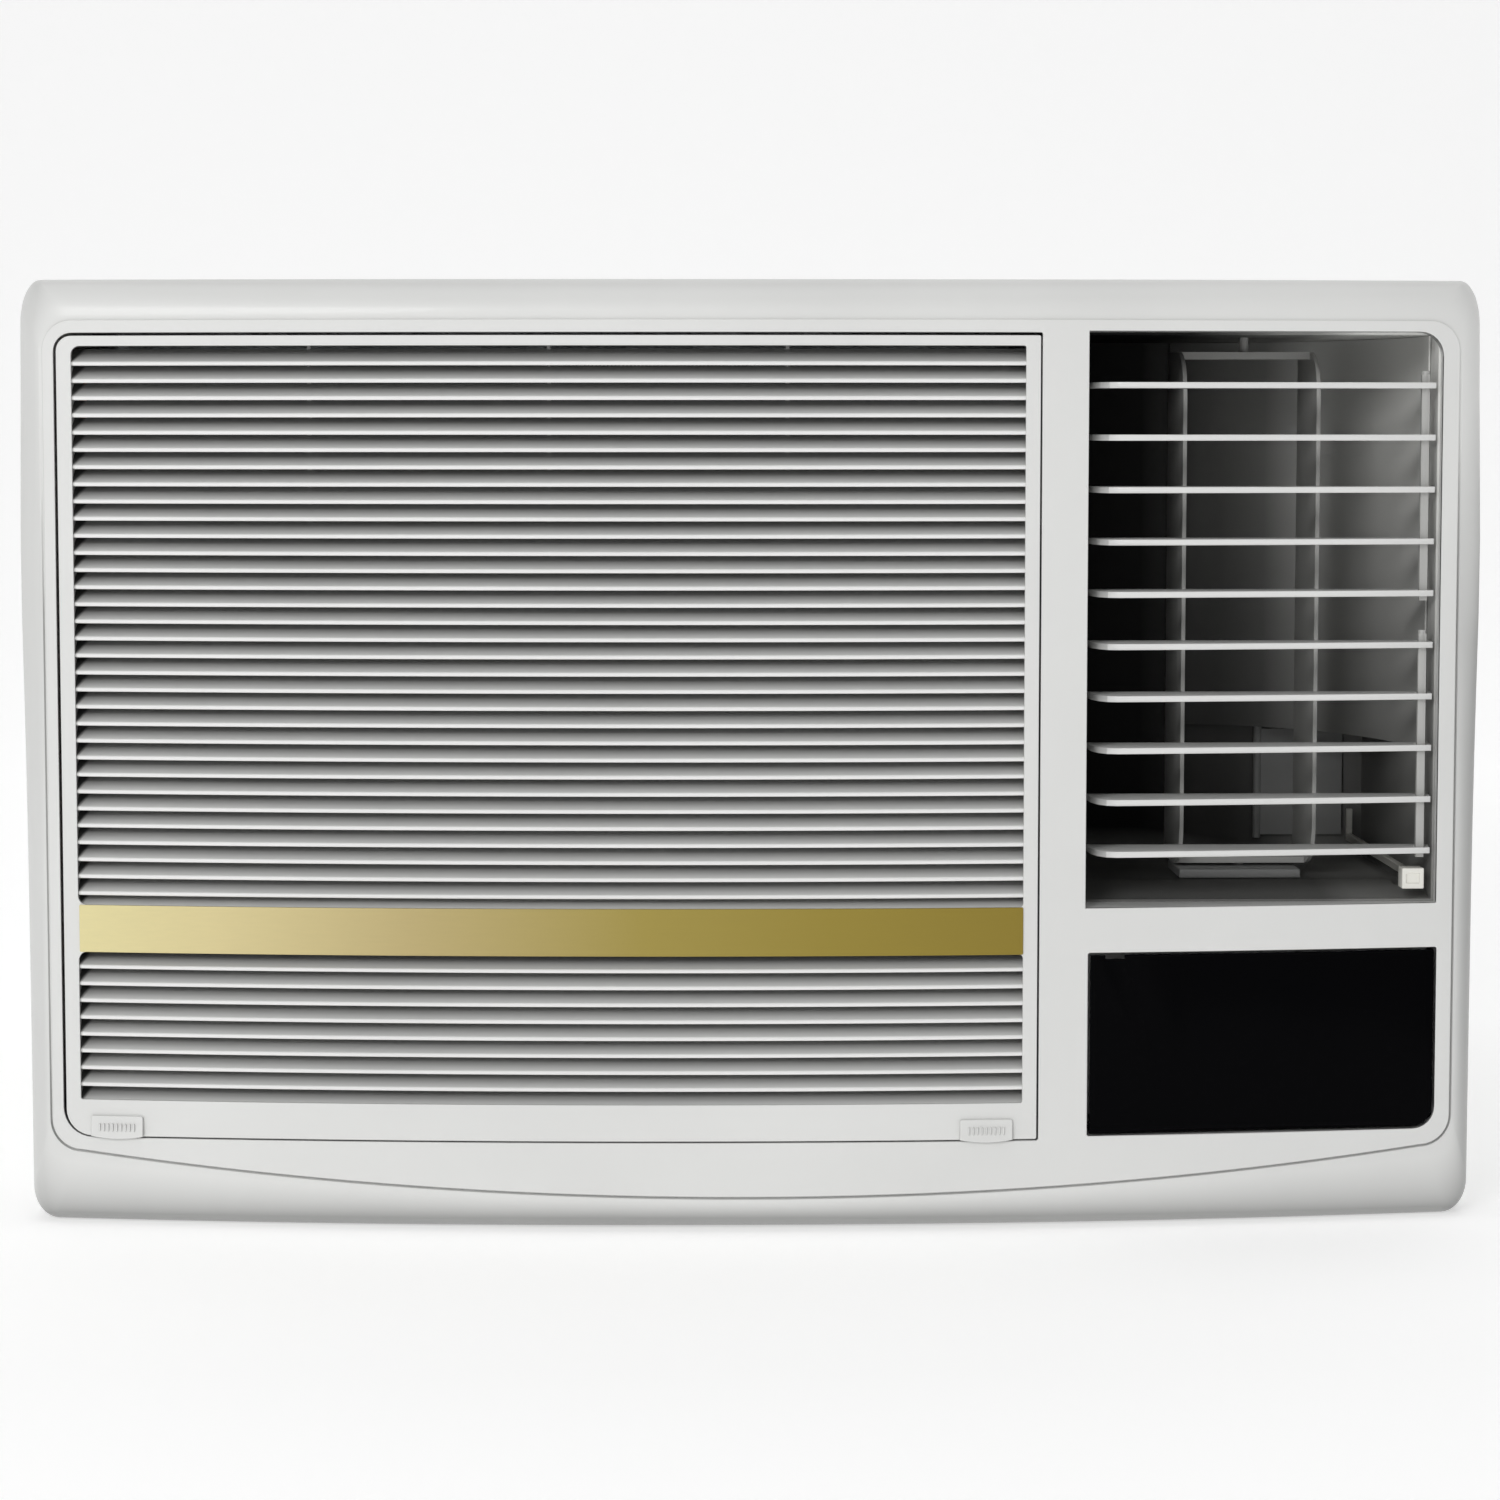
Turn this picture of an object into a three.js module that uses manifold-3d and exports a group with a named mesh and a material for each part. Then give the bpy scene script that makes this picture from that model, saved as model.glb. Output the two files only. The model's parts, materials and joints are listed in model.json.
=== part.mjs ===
// Window air conditioner, in millimetres. +Z is up, the front faces -Y and +X is on the right seen from
// the front. The origin is on the surface that the unit stands on, in the middle of its width and depth.
import * as THREE from "three";
import { mergeVertices } from "three/addons/utils/BufferGeometryUtils.js";
import Module from "manifold-3d";

const wasm = await Module();
wasm.setup();

// ---- Driving dimensions ------------------------------------------------------------------------

const WIDTH = 660;
const HEIGHT = 430;
const DEPTH = 710;
const BAND_PROUD = 0.8; // the trim band stands this far in front of the bowed face
const FACE = -DEPTH / 2 + BAND_PROUD; // y of the bowed front face at the middle of its width
const CROWN_RADIUS = 2109; // the front face is bowed in plan
const GAP = 0.3; // left between pieces that touch
const SKIN = 2.8; // moulded panel wall
const SHEET = 1.6; // sheet metal

// Front panel
const PANEL_DEPTH = 62;
const PANEL_CORNER = 13;
const PLATFORM = { half: 320, top: 411.5, low: 16, ends: 35, corner: 13.5, proud: 1.2 };
const RIM = { top: 21, bottom: 18, side: 30 }; // how far the outline lies behind the bowed face
const CHIN = 20;

// Intake grille
const GROOVE = 1.3; // clearance round the grille and round the control door
const GRILLE = { x0: -313.5, x1: 128, z0: 41.5, z1: 404.9 };
const WINDOW = { x0: -306.7, x1: 121.4, z0: 58.2, z1: 399.8 };
const SLAT_PITCH = 7.719;
const SLAT_DEPTH = 12.5;
const UPPER_SLATS = 32;
const LOWER_SLATS = 8;
const LOWER_FIRST_Z = 119.15;
const BAND = { z0: 126, z1: 147.5 };
const GRILLE_BACK = 15; // depth of the grille's rim and ribs
const GRILLE_RIBS = [-92];
const TAB = { width: 24, z0: 40.5, z1: 51, proud: 2.5, centres: [-290, 105] };
const HINGE_Z = 408.2; // height of the grille's hinge line
const HINGE_BEHIND = 5.5; // how far the hinge line lies behind the face at the two arms
const HINGE_ARMS = [-150, -35];
const HINGE_PIN = 1.6;
const EAR = { outside: 7.2, wide: 2.4 }; // cheeks either side of a hinge arm
const RUNNING = 0.35; // clearance round moulded pivots

// Air outlet
const OUTLET = { x0: 149.8, x1: 312.4, z0: 146.7, z1: 406.4, corner: 11 };
const DUCT_WALL = 2.4;
const DUCT_END = 215; // depth of the duct's rear wall behind the face
const LOUVRES = 10;
const LOUVRE_TOP = 382.4;
const LOUVRE_PITCH = 23.54;
const LOUVRE = { x0: 153.2, x1: 309.6, thick: 2.7, recess: 3, axis: 40, pin: 1.25 };
const LINK = { x: 305.6, wide: 3.6, thick: 3.2, arm: 9.3, pin: 0.75 };
const VANE = { x: 232, behind: 95, half: 31, deep: 57, z0: 158, z1: 398.6, thick: 1.8 };
const VENT = { x0: 262, x1: 302, z0: 161, z1: 209 };

// Control door
const DOOR = { x0: 151.1, x1: 312.9, z0: 42.5, z1: 126.3, corner: 10, thick: 2.4 };
const DOOR_AXIS = { behind: 3.5, above: 4, pin: 1.1 };
const BUTTONS = 5;

// Case and chassis
const CASE = { half: 323, z0: 7, z1: 423, y0: -300, y1: 355 };
const JOGGLE = { far: -290, step: 0.8 }; // stepped-in front lip that the panel's rear edge overhangs
const PAN = { half: 318, z: 9, y0: -287, y1: 348, rim: 24 };
const RUNNER = { x: 250, wide: 40, high: 7 };
const INLET = { y: -225, z: 42, bore: 5 }; // hole for the supply cord, in the right side
const FAN = { x: -70, z: 215 }; // shaft centre line
const SHAFT_RADIUS = 6;
// Blower housing: a spiral that starts at a radius and grows by grow over its turn.
const SCROLL = { y0: -226, y1: -133, start: 105, grow: 80, wall: 2.5, outletLow: 322, outletHigh: 396 };
const BULKHEAD_Y = -118;
const EVAPORATOR = { x0: -298, x1: 116, y0: -292, y1: -240, z0: 46, z1: 398, bends: 4 };
const CONDENSER = { x0: -294, x1: 292, y0: 276, y1: 332, z0: 20, z1: 410, bends: 5 };
const MOTOR = { radius: 52, y0: -92, y1: -4 };
const CONTROL_BOX = { x0: 165, x1: 306, y0: -284, y1: -190, z0: 18, z1: 134 };
const SHROUD_Y = 260;
const DRAIN = { x: -250, y: 240, radius: 9 };

// ---- Helpers -----------------------------------------------------------------------------------

const crown = (x) => (x * x) / (2 * CROWN_RADIUS);

const solid = (geometry) => {
  const bare = new THREE.BufferGeometry();
  bare.setAttribute("position", geometry.getAttribute("position"));
  bare.setIndex(geometry.index);
  const merged = mergeVertices(bare, 1e-4);
  return new wasm.Manifold(
    new wasm.Mesh({
      numProp: 3,
      vertProperties: merged.attributes.position.array,
      triVerts: new Uint32Array(merged.index.array),
    }),
  );
};

const geometryOf = (body) => {
  const mesh = body.getMesh();
  const geometry = new THREE.BufferGeometry();
  geometry.setAttribute("position", new THREE.BufferAttribute(mesh.vertProperties, 3));
  geometry.setIndex(new THREE.BufferAttribute(mesh.triVerts, 1));
  return geometry;
};

const join = (bodies) => bodies.reduce((all, body) => all.add(body));
const cut = (body, tools) => tools.reduce((left, tool) => left.subtract(tool), body);

// Moves every point of a geometry back with the bow of the face.
const bowed = (geometry) => {
  const p = geometry.getAttribute("position");
  for (let i = 0; i < p.count; i++) p.setY(i, p.getY(i) + crown(p.getX(i)));
  return geometry;
};

const shapeOf = (points) =>
  points instanceof THREE.Shape ? points : new THREE.Shape(points.map(([u, v]) => new THREE.Vector2(u, v)));

const extruded = (shape, length, steps, curveSegments, axes) => {
  const geometry = new THREE.ExtrudeGeometry(shapeOf(shape), {
    depth: length,
    steps,
    curveSegments,
    bevelEnabled: false,
  });
  geometry.applyMatrix4(new THREE.Matrix4().makeBasis(...axes.map((a) => new THREE.Vector3(...a))));
  return geometry;
};

// Prisms: along X from a (y, z) outline, along Y from a (z, x) outline, along Z from an (x, y) outline.
const alongX = (shape, x0, x1, steps = 1) =>
  extruded(shape, x1 - x0, steps, 6, [[0, 1, 0], [0, 0, 1], [1, 0, 0]]).translate(x0, 0, 0);
const alongY = (shape, y0, y1, round = 6) =>
  extruded(shape, y1 - y0, 1, round, [[0, 0, 1], [1, 0, 0], [0, 1, 0]]).translate(0, y0, 0);
const alongZ = (shape, z0, z1, round = 6) =>
  extruded(shape, z1 - z0, 1, round, [[1, 0, 0], [0, 1, 0], [0, 0, 1]]).translate(0, 0, z0);

const box = (x0, x1, y0, y1, z0, z1) =>
  new THREE.BoxGeometry(x1 - x0, y1 - y0, z1 - z0).translate((x0 + x1) / 2, (y0 + y1) / 2, (z0 + z1) / 2);
const block = (...sides) => solid(box(...sides));

const TURN = { x: [0, 0, -Math.PI / 2], y: [0, 0, 0], z: [Math.PI / 2, 0, 0] };
const round = (axis, radius, from, to, a, b, sides = 20, endRadius = radius) => {
  const geometry = new THREE.CylinderGeometry(endRadius, radius, to - from, sides);
  geometry.translate(0, (from + to) / 2, 0);
  geometry.applyMatrix4(new THREE.Matrix4().makeRotationFromEuler(new THREE.Euler(...TURN[axis])));
  const place = { x: [0, a, b], y: [a, 0, b], z: [a, b, 0] }[axis];
  return geometry.translate(...place);
};
const cylinder = (...args) => solid(round(...args));

// A closed (z, x) outline with its own radius at each corner, in the order low-left, low-right,
// high-right, high-left.
const outline = (x0, x1, z0, z1, radii) => {
  const [ll, lr, hr, hl] = radii;
  const shape = new THREE.Shape();
  shape.moveTo(z0, x0 + ll);
  shape.lineTo(z0, x1 - lr);
  if (lr) shape.quadraticCurveTo(z0, x1, z0 + lr, x1);
  shape.lineTo(z1 - hr, x1);
  if (hr) shape.quadraticCurveTo(z1, x1, z1, x1 - hr);
  shape.lineTo(z1, x0 + hl);
  if (hl) shape.quadraticCurveTo(z1, x0, z1 - hl, x0);
  shape.lineTo(z0 + ll, x0);
  if (ll) shape.quadraticCurveTo(z0, x0, z0, x0 + ll);
  return shape;
};

const ofRect = (r, grow = 0) => [r.x0 - grow, r.x1 + grow, r.z0 - grow, r.z1 + grow];

// A slab that follows the bow of the face, between two depths behind it.
const bowedSlab = (x0, x1, near, far, z0, z1, steps) =>
  solid(
    bowed(alongX([[near, z0], [far, z0], [far, z1], [near, z1]], x0, x1, steps)).translate(0, FACE, 0),
  );

// Frames that lie along a chord of the bowed face, with local X on the chord and local Y behind it.
const chordFrame = (xa, xb, behind, z) => {
  const turn = Math.atan2(crown(xb) - crown(xa), xb - xa);
  const at = new THREE.Vector3((xa + xb) / 2, FACE + (crown(xa) + crown(xb)) / 2 + behind, z);
  return new THREE.Matrix4().makeRotationZ(turn).setPosition(at);
};
const hingeFrame = chordFrame(...HINGE_ARMS, HINGE_BEHIND, HINGE_Z);
const doorFrame = chordFrame(DOOR.x0, DOOR.x1, DOOR_AXIS.behind, DOOR.z0 + GROOVE + DOOR_AXIS.above);
const placed = (geometry, frame) => solid(geometry.applyMatrix4(frame));

// A round tube or rod bent along a smooth curve through points.
const bentTube = (points, radius, steps, sides = 6) => {
  const curve = new THREE.CatmullRomCurve3(points.map((p) => new THREE.Vector3(...p)), false, "centripetal");
  const section = new THREE.Shape();
  for (let i = 0; i < sides; i++) {
    const angle = (2 * Math.PI * i) / sides;
    const [u, v] = [radius * Math.cos(angle), radius * Math.sin(angle)];
    if (i) section.lineTo(u, v);
    else section.moveTo(u, v);
  }
  return new THREE.ExtrudeGeometry(section, { steps, extrudePath: curve, bevelEnabled: false });
};

const object = new THREE.Group();

const FINISHES = {
  white_plastic: [0xe1e2e1, 0.42, 0],
  cream_plastic: [0xe9e6da, 0.5, 0],
  grey_plastic: [0x9a9c9c, 0.6, 0],
  black_plastic: [0x17181a, 0.5, 0],
  black_gloss: [0x08090a, 0.08, 0],
  gold: [0xc9b268, 0.3, 0.9],
  painted_sheet: [0xdcdcd6, 0.5, 0.1],
  zinc_sheet: [0xa9adb0, 0.42, 0.85],
  filter_mesh: [0x33363a, 0.8, 0],
  fins: [0xb9bfc3, 0.35, 0.9],
  copper: [0xb4714a, 0.3, 0.95],
  black_paint: [0x1d1e20, 0.4, 0.3],
  rubber: [0x222222, 0.85, 0],
  steel: [0xb5b8ba, 0.3, 0.95],
  circuit: [0x24583a, 0.55, 0.05],
};

const add = (name, finish, body) => {
  const [color, roughness, metalness] = FINISHES[finish];
  const material = new THREE.MeshStandardMaterial({ color, roughness, metalness });
  material.name = finish;
  const mesh = new THREE.Mesh(geometryOf(body), material);
  mesh.name = name;
  object.add(mesh);
};

// ---- Front panel -------------------------------------------------------------------------------

const BOW_STEPS = 10;

// The panel's outer form, made smaller all round by inset.
const panelForm = (inset, near, rear) => {
  const half = WIDTH / 2 - inset;
  const top = HEIGHT - inset;
  const profile = [
    [rear, inset],
    [RIM.bottom + inset, inset],
    [RIM.bottom / 2.4 + inset, CHIN / 6 + inset],
    [RIM.bottom / 7 + near, CHIN / 2 + inset],
    [near, CHIN + inset],
    [near, PLATFORM.top - inset],
    [RIM.top * 0.2 + near, top - 10.5],
    [RIM.top * 0.5 + near, top - 4],
    [RIM.top + inset, top],
    [rear, top],
  ];
  const plan = [
    [half, rear],
    [half, RIM.side + inset],
    [PLATFORM.half + 1 - inset, crown(PLATFORM.half) + inset],
    [PLATFORM.half - 20, -10],
    [20 - PLATFORM.half, -10],
    [-PLATFORM.half - 1 + inset, crown(PLATFORM.half) + inset],
    [-half, RIM.side + inset],
    [-half, rear],
  ];
  const front = bowed(alongX(profile, -half, half, BOW_STEPS)).translate(0, FACE, 0);
  const edge = outline(-half, half, inset, top, Array(4).fill(PANEL_CORNER * 1.2 - inset));
  return solid(front)
    .intersect(solid(alongY(edge, FACE - 10, FACE + rear)))
    .intersect(solid(alongZ(plan, -1, HEIGHT + 1).translate(0, FACE, 0)));
};

// The raised platform's outline: straight sides and top, and a bottom edge that bows downwards.
const platformOutline = () => {
  const { half, top, low, ends, corner } = PLATFORM;
  const shape = new THREE.Shape();
  shape.moveTo(ends + corner, -half);
  shape.quadraticCurveTo(ends, -half, ends - 1, corner - half);
  shape.quadraticCurveTo(2 * low - ends, 0, ends - 1, half - corner);
  shape.quadraticCurveTo(ends, half, ends + corner, half);
  shape.lineTo(top - corner, half);
  shape.quadraticCurveTo(top, half, top, half - corner);
  shape.lineTo(top, corner - half);
  shape.quadraticCurveTo(top, -half, top - corner, -half);
  return shape;
};

// A wall round an opening, from behind the face to a flat rear edge.
const collar = (rect, wall, corners, depth) => {
  const outside = outline(...ofRect(rect, wall), corners.map((r) => r + wall));
  const outer = solid(alongY(outside, FACE, FACE + depth));
  const front = bowedSlab(rect.x0 - 20, rect.x1 + 20, -40, SKIN - 1, -10, HEIGHT + 10, BOW_STEPS);
  return outer.subtract(front);
};

const hingeEars = () => {
  const reach = (HINGE_ARMS[1] - HINGE_ARMS[0]) / 2;
  const ear = [[-HINGE_BEHIND + 1, -3.4], [3, -3.4], [4.6, -1.5], [4.6, 2], [-HINGE_BEHIND + 1, 3.4]];
  const ears = [];
  for (const side of [-1, 1])
    for (const x of [-EAR.outside, EAR.outside - EAR.wide]) {
      const at = side * reach + x;
      ears.push(placed(alongX(ear, at, at + EAR.wide), hingeFrame));
    }
  const bores = [-1, 1].map((side) =>
    placed(round("x", HINGE_PIN + RUNNING, side * reach - 9, side * reach + 9, 0, 0, 12), hingeFrame),
  );
  return cut(join(ears), bores);
};

const outletCorners = [0, 0, OUTLET.corner, 0];
const doorCorners = [0, DOOR.corner, 0, 0];
const doorPins = (radius, reach) => {
  const half = Math.hypot(DOOR.x1 - DOOR.x0, crown(DOOR.x1) - crown(DOOR.x0)) / 2;
  return [-1, 1].map((side) => {
    const ends = [side * (half - 6), side * (half + reach)].sort((a, b) => a - b);
    return placed(round("x", radius, ...ends, 0, 0, 12), doorFrame);
  });
};

const frontPanel = () => {
  const platform = bowedSlab(-PLATFORM.half, PLATFORM.half, 0, 2.2, 0, HEIGHT, BOW_STEPS).intersect(
    solid(alongY(platformOutline(), FACE - 5, FACE + 60, 10)),
  );
  const shell = panelForm(0, PLATFORM.proud, PANEL_DEPTH)
    .add(platform)
    .subtract(panelForm(SKIN, SKIN, PANEL_DEPTH + 10));
  const through = (rect, corners, grow = 0) =>
    solid(alongY(outline(...ofRect(rect, grow), corners), FACE - 5, 0));
  const whole = join([
    shell,
    collar(OUTLET, 2, outletCorners, 30),
    collar(DOOR, 3, doorCorners, 36),
    hingeEars(),
  ]);
  return cut(whole, [
    through(GRILLE, [13, 1, 1, 8], GROOVE),
    through(OUTLET, outletCorners),
    through(DOOR, doorCorners),
    ...doorPins(DOOR_AXIS.pin + RUNNING, 2.4),
  ]);
};
add("front_panel", "white_plastic", frontPanel());

// ---- Intake grille -----------------------------------------------------------------------------

const GRILLE_STEPS = 4;

const slat = (z) => {
  const section = [[0.6, z - 1], [SLAT_DEPTH, z + 5.4], [SLAT_DEPTH, z + 6.8], [0.6, z + 1]];
  return solid(bowed(alongX(section, WINDOW.x0 - 1.5, WINDOW.x1 + 1.5, GRILLE_STEPS)).translate(0, FACE, 0));
};

// Curved arm from the grille's back, round behind the edge of the panel, to the hinge line.
const hingeArm = (side) => {
  const middle = (side * (HINGE_ARMS[1] - HINGE_ARMS[0])) / 2;
  const arm = [
    [-1.8, 1.2], [0, 2.2], [9.5, -1.5], [9.5, -9.6], [-4.6, -9.6], [-4.6, -6.6], [6.4, -6.6],
    [6.4, -4.2], [1.2, -2], [-1.6, -1.4],
  ];
  const pin = round("x", HINGE_PIN, middle - 7, middle + 7, 0, 0, 12);
  return placed(alongX(arm, middle - 4.2, middle + 4.2), hingeFrame).add(placed(pin, hingeFrame));
};

const intakeGrille = () => {
  const { x0, x1, z0, z1 } = GRILLE;
  const edge = solid(alongY(outline(x0, x1, z0, z1, [12, 1, 1, 7]), FACE - 5, FACE + 60));
  const plate = bowedSlab(x0, x1, 0, 2.4, z0, z1, GRILLE_STEPS).intersect(edge);
  const rims = [
    bowedSlab(x0, x0 + 2, 1, GRILLE_BACK, z0, z1 - 14, 1),
    bowedSlab(x1 - 2, x1, 1, GRILLE_BACK, z0, z1 - 14, 1),
    bowedSlab(x0, x1, 1, GRILLE_BACK, z0, z0 + 2, GRILLE_STEPS),
  ].map((rim) => rim.intersect(edge));
  const opening = solid(alongY(outline(...ofRect(WINDOW), [4, 1, 1, 4]), FACE - 5, FACE + 60));
  // The top edge is bevelled behind, so that it swings out past the panel.
  const top = z1 - 0.5;
  const behindTop = [[-3, z1 + 1], [-3, top], [0.2, top], [3, top - 4.2], [9, top - 6], [9, z1 + 1]];
  const bevel = solid(bowed(alongX(behindTop, x0 - 1, x1 + 1, GRILLE_STEPS)).translate(0, FACE, 0));
  const slats = [];
  for (let k = 1; k <= UPPER_SLATS; k++) slats.push(slat(WINDOW.z1 - k * SLAT_PITCH));
  for (let k = 0; k < LOWER_SLATS; k++) slats.push(slat(LOWER_FIRST_Z - k * SLAT_PITCH));
  const { x0: left, x1: right } = WINDOW;
  const seatFront = BAND_PROUD + 0.1;
  const bandSeat = bowedSlab(left - 1, right + 1, seatFront, 3, BAND.z0 - 1, BAND.z1 + 1, GRILLE_STEPS);
  const ribs = GRILLE_RIBS.map((x) =>
    bowedSlab(x - 1.2, x + 1.2, SLAT_DEPTH - 2, GRILLE_BACK, z0 + 1, z1 - 12, 1),
  );
  const [recessLow, recessHigh] = [BAND.z0 - 0.2, BAND.z1 + 0.2];
  const bandRecess = bowedSlab(left - 0.1, right + 0.4, -5, seatFront, recessLow, recessHigh, GRILLE_STEPS);
  const frame = cut(plate, [opening, bevel]);
  return join([frame, ...rims, ...slats, bandSeat, ...ribs])
    .subtract(bandRecess)
    .add(hingeArm(-1))
    .add(hingeArm(1));
};
add("intake_grille", "white_plastic", intakeGrille());

add(
  "trim_band",
  "gold",
  bowedSlab(WINDOW.x0 + 0.5, WINDOW.x1, -BAND_PROUD, BAND_PROUD + 0.1 - GAP, BAND.z0, BAND.z1, GRILLE_STEPS),
);

const pullTab = (x) => {
  const half = TAB.width / 2;
  const { z0, z1, proud } = TAB;
  const section = [[-GAP, z0], [-GAP, z1], [1 - proud, z1], [-proud, z1 - 3], [-proud, z0 + 1]];
  const grips = Array.from({ length: 4 }, (_, i) => {
    const low = z0 + 2 + i * 1.6;
    return bowedSlab(x - half + 3, x + half - 3, -proud - 1, 0.6 - proud, low, low + 0.7, 1);
  });
  return cut(solid(bowed(alongX(section, x - half, x + half, 2)).translate(0, FACE, 0)), grips);
};
add("pull_tab_left", "white_plastic", pullTab(TAB.centres[0]));
add("pull_tab_right", "white_plastic", pullTab(TAB.centres[1]));

const airFilter = () => {
  const [near, far] = [GRILLE_BACK + 1.5, GRILLE_BACK + 4.5];
  const [x0, x1, z0, z1] = [-302, 116, 58, 386];
  const bars = 2;
  const frame = cut(
    bowedSlab(x0, x1, near, far, z0, z1, GRILLE_STEPS),
    Array.from({ length: (bars + 1) * bars }, (_, i) => {
      const column = i % (bars + 1);
      const row = Math.floor(i / (bars + 1));
      const wide = (x1 - x0) / (bars + 1);
      const high = (z1 - z0) / bars;
      const left = x0 + column * wide;
      const low = z0 + row * high;
      return block(left + 4, left + wide - 4, FACE - 5, FACE + 80, low + 4, low + high - 4);
    }),
  );
  return frame.add(bowedSlab(x0 + 1, x1 - 1, near + 1, near + 1.6, z0 + 1, z1 - 1, GRILLE_STEPS));
};
add("air_filter", "filter_mesh", airFilter());

// ---- Air outlet --------------------------------------------------------------------------------

const ductRect = { x0: OUTLET.x0 + 1, x1: OUTLET.x1 - 1, z0: OUTLET.z0 + 1, z1: OUTLET.z1 - 1 };
const behindSkin = () => bowedSlab(OUTLET.x0 - 30, OUTLET.x1 + 30, -40, SKIN + 3, 0, HEIGHT, BOW_STEPS);
const louvreZ = (i) => LOUVRE_TOP - i * LOUVRE_PITCH;

// Plenum behind the outlet: the blower feeds it from the left, and it opens forwards.
const outletDuct = () => {
  const { x0, x1, z0, z1 } = ductRect;
  const collarGap = 2 + GAP; // the duct's mouth fits over the panel's collar
  const rear = FACE + DUCT_END;
  const step = FACE + 30 + GAP;
  const around = (grow, near, far) => block(x0 - grow, x1 + grow, near, far, z0 - grow, z1 + grow);
  const mouth = around(collarGap + 3, FACE, step + 3);
  const mouthHole = around(collarGap + 1, FACE - 5, step);
  const body = around(DUCT_WALL, step - 1, rear + DUCT_WALL);
  const hollow = solid(
    alongX([[FACE - 5, z0], [rear, z0], [rear, z1], [FACE - 5, z1]], x0, x1),
  );
  const ramp = solid(
    alongX([[step, z0 - 1], [FACE + 70, z0 + 4.5], [rear + 1, z0 + 4.5], [rear + 1, z0 - 1]], x0 - 1, x1 + 1),
  );
  const inlet = block(x0 - 10, x0 + 1, FACE + 126, rear - 4, SCROLL.outletLow, SCROLL.outletHigh);
  const vent = block(VENT.x0, VENT.x1, rear - 1, rear + 10, VENT.z0, VENT.z1);
  const pivots = [];
  for (let i = 0; i < LOUVRES; i++)
    for (const x of [x0 - 4, x1 - 1])
      pivots.push(cylinder("x", LOUVRE.pin + RUNNING, x, x + 5, FACE + LOUVRE.axis, louvreZ(i), 8));
  const vaneBore = cylinder("z", 2.2 + RUNNING, z1 - 1, z1 + 4, VANE.x, FACE + VANE.behind, 12);
  const shell = cut(mouth.add(body), [behindSkin(), mouthHole, hollow]).add(ramp);
  const rodSlot = block(299.5, 308.5, FACE + 60, rear - 6, z0 + 2, z0 + 8);
  return cut(shell, [inlet, vent, vaneBore, rodSlot, ...pivots]);
};

add("outlet_duct", "grey_plastic", outletDuct());

// One horizontal blade: a straight rear edge on the hinge line, a front edge that follows the bowed face
// and a rounded left end. A slot near the right end lets the link bar through, with a cross pin in it.
const louvreBlade = (z) => {
  const { x0, x1, thick, recess, axis, pin } = LOUVRE;
  const corner = 11;
  const rear = FACE + axis + 1.6;
  const front = (x) => FACE + crown(x) + recess;
  const plan = new THREE.Shape();
  plan.moveTo(x0, rear);
  plan.lineTo(x0, rear - 3.2);
  plan.quadraticCurveTo(x0 + 0.5, front(x0 + corner), x0 + corner, front(x0 + corner));
  for (let i = 1; i <= 4; i++) {
    const x = x0 + corner + ((x1 - x0 - corner) * i) / 4;
    plan.lineTo(x, front(x));
  }
  plan.lineTo(x1, rear);
  const blade = solid(alongZ(plan, z - thick / 2, z + thick / 2, 4));
  const stubs = [
    cylinder("x", pin, x0 - 3.6, x0 + 2, FACE + axis, z, 8),
    cylinder("x", pin, x1 - 2, x1 + 3, FACE + axis, z, 8),
  ];
  const centre = FACE + axis - LINK.arm;
  const slot = block(LINK.x - 2.6, LINK.x + 2.6, centre - 3.9, centre + 3.9, z - 3, z + 3);
  const cross = cylinder("x", LINK.pin, LINK.x - 3, LINK.x + 3, centre, z, 8);
  return join([blade, ...stubs]).subtract(slot).add(cross);
};
for (let i = 0; i < LOUVRES; i++)
  add("louvre_" + String(i + 1).padStart(2, "0"), "white_plastic", louvreBlade(louvreZ(i)));

const linkBar = (first) => {
  const { x, wide, thick, arm, pin } = LINK;
  const half = wide / 2;
  const centre = FACE + LOUVRE.axis - arm;
  const last = first + LOUVRES / 2 - 1;
  const [low, high] = [louvreZ(last) - 3.4, louvreZ(first) + 5];
  const bar = block(x - half, x + half, centre - thick / 2, centre + thick / 2, low, high);
  const knob = cylinder("z", 1.9, louvreZ(first) + 4, louvreZ(first) + 6.6, x, centre, 10);
  const eyes = Array.from({ length: LOUVRES / 2 }, (_, i) =>
    cylinder("x", pin + 0.25, x - 4, x + 4, centre, louvreZ(first + i), 8),
  );
  return cut(bar.add(knob), eyes);
};
add("link_bar_upper", "white_plastic", linkBar(0));
add("link_bar_lower", "white_plastic", linkBar(LOUVRES / 2));

// Two upright blades in one frame, turned left and right by the swing motor below it.
const vaneUnit = () => {
  const { x, behind, half, deep, z0, z1, thick } = VANE;
  const axisY = FACE + behind;
  const [near, far] = [axisY - deep / 2, axisY + deep / 2];
  const nose = 22;
  const profile = new THREE.Shape();
  profile.moveTo(far, z0);
  profile.lineTo(far, z1);
  profile.lineTo(near + nose, z1);
  profile.quadraticCurveTo(near, z1 - 3, near, z1 - nose);
  profile.lineTo(near, z0 + nose);
  profile.quadraticCurveTo(near, z0 + 3, near + nose, z0);
  const blades = [-1, 1].map((side) =>
    solid(alongX(profile, x + side * half - thick / 2, x + side * half + thick / 2)),
  );
  const plates = [[z1 - 3.4, z1], [z0, z0 + 3]].map(([low, high]) =>
    block(x - half, x + half, axisY - 7, axisY + 7, low, high),
  );
  const pins = [
    cylinder("z", 2.2, z1 - 1, z1 + 7.5, x, axisY, 12),
    cylinder("z", 2.2, z0 - 4, z0 + 1, x, axisY, 12),
  ];
  return join([...blades, ...plates, ...pins]);
};
add("swing_vane", "grey_plastic", vaneUnit());

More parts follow.
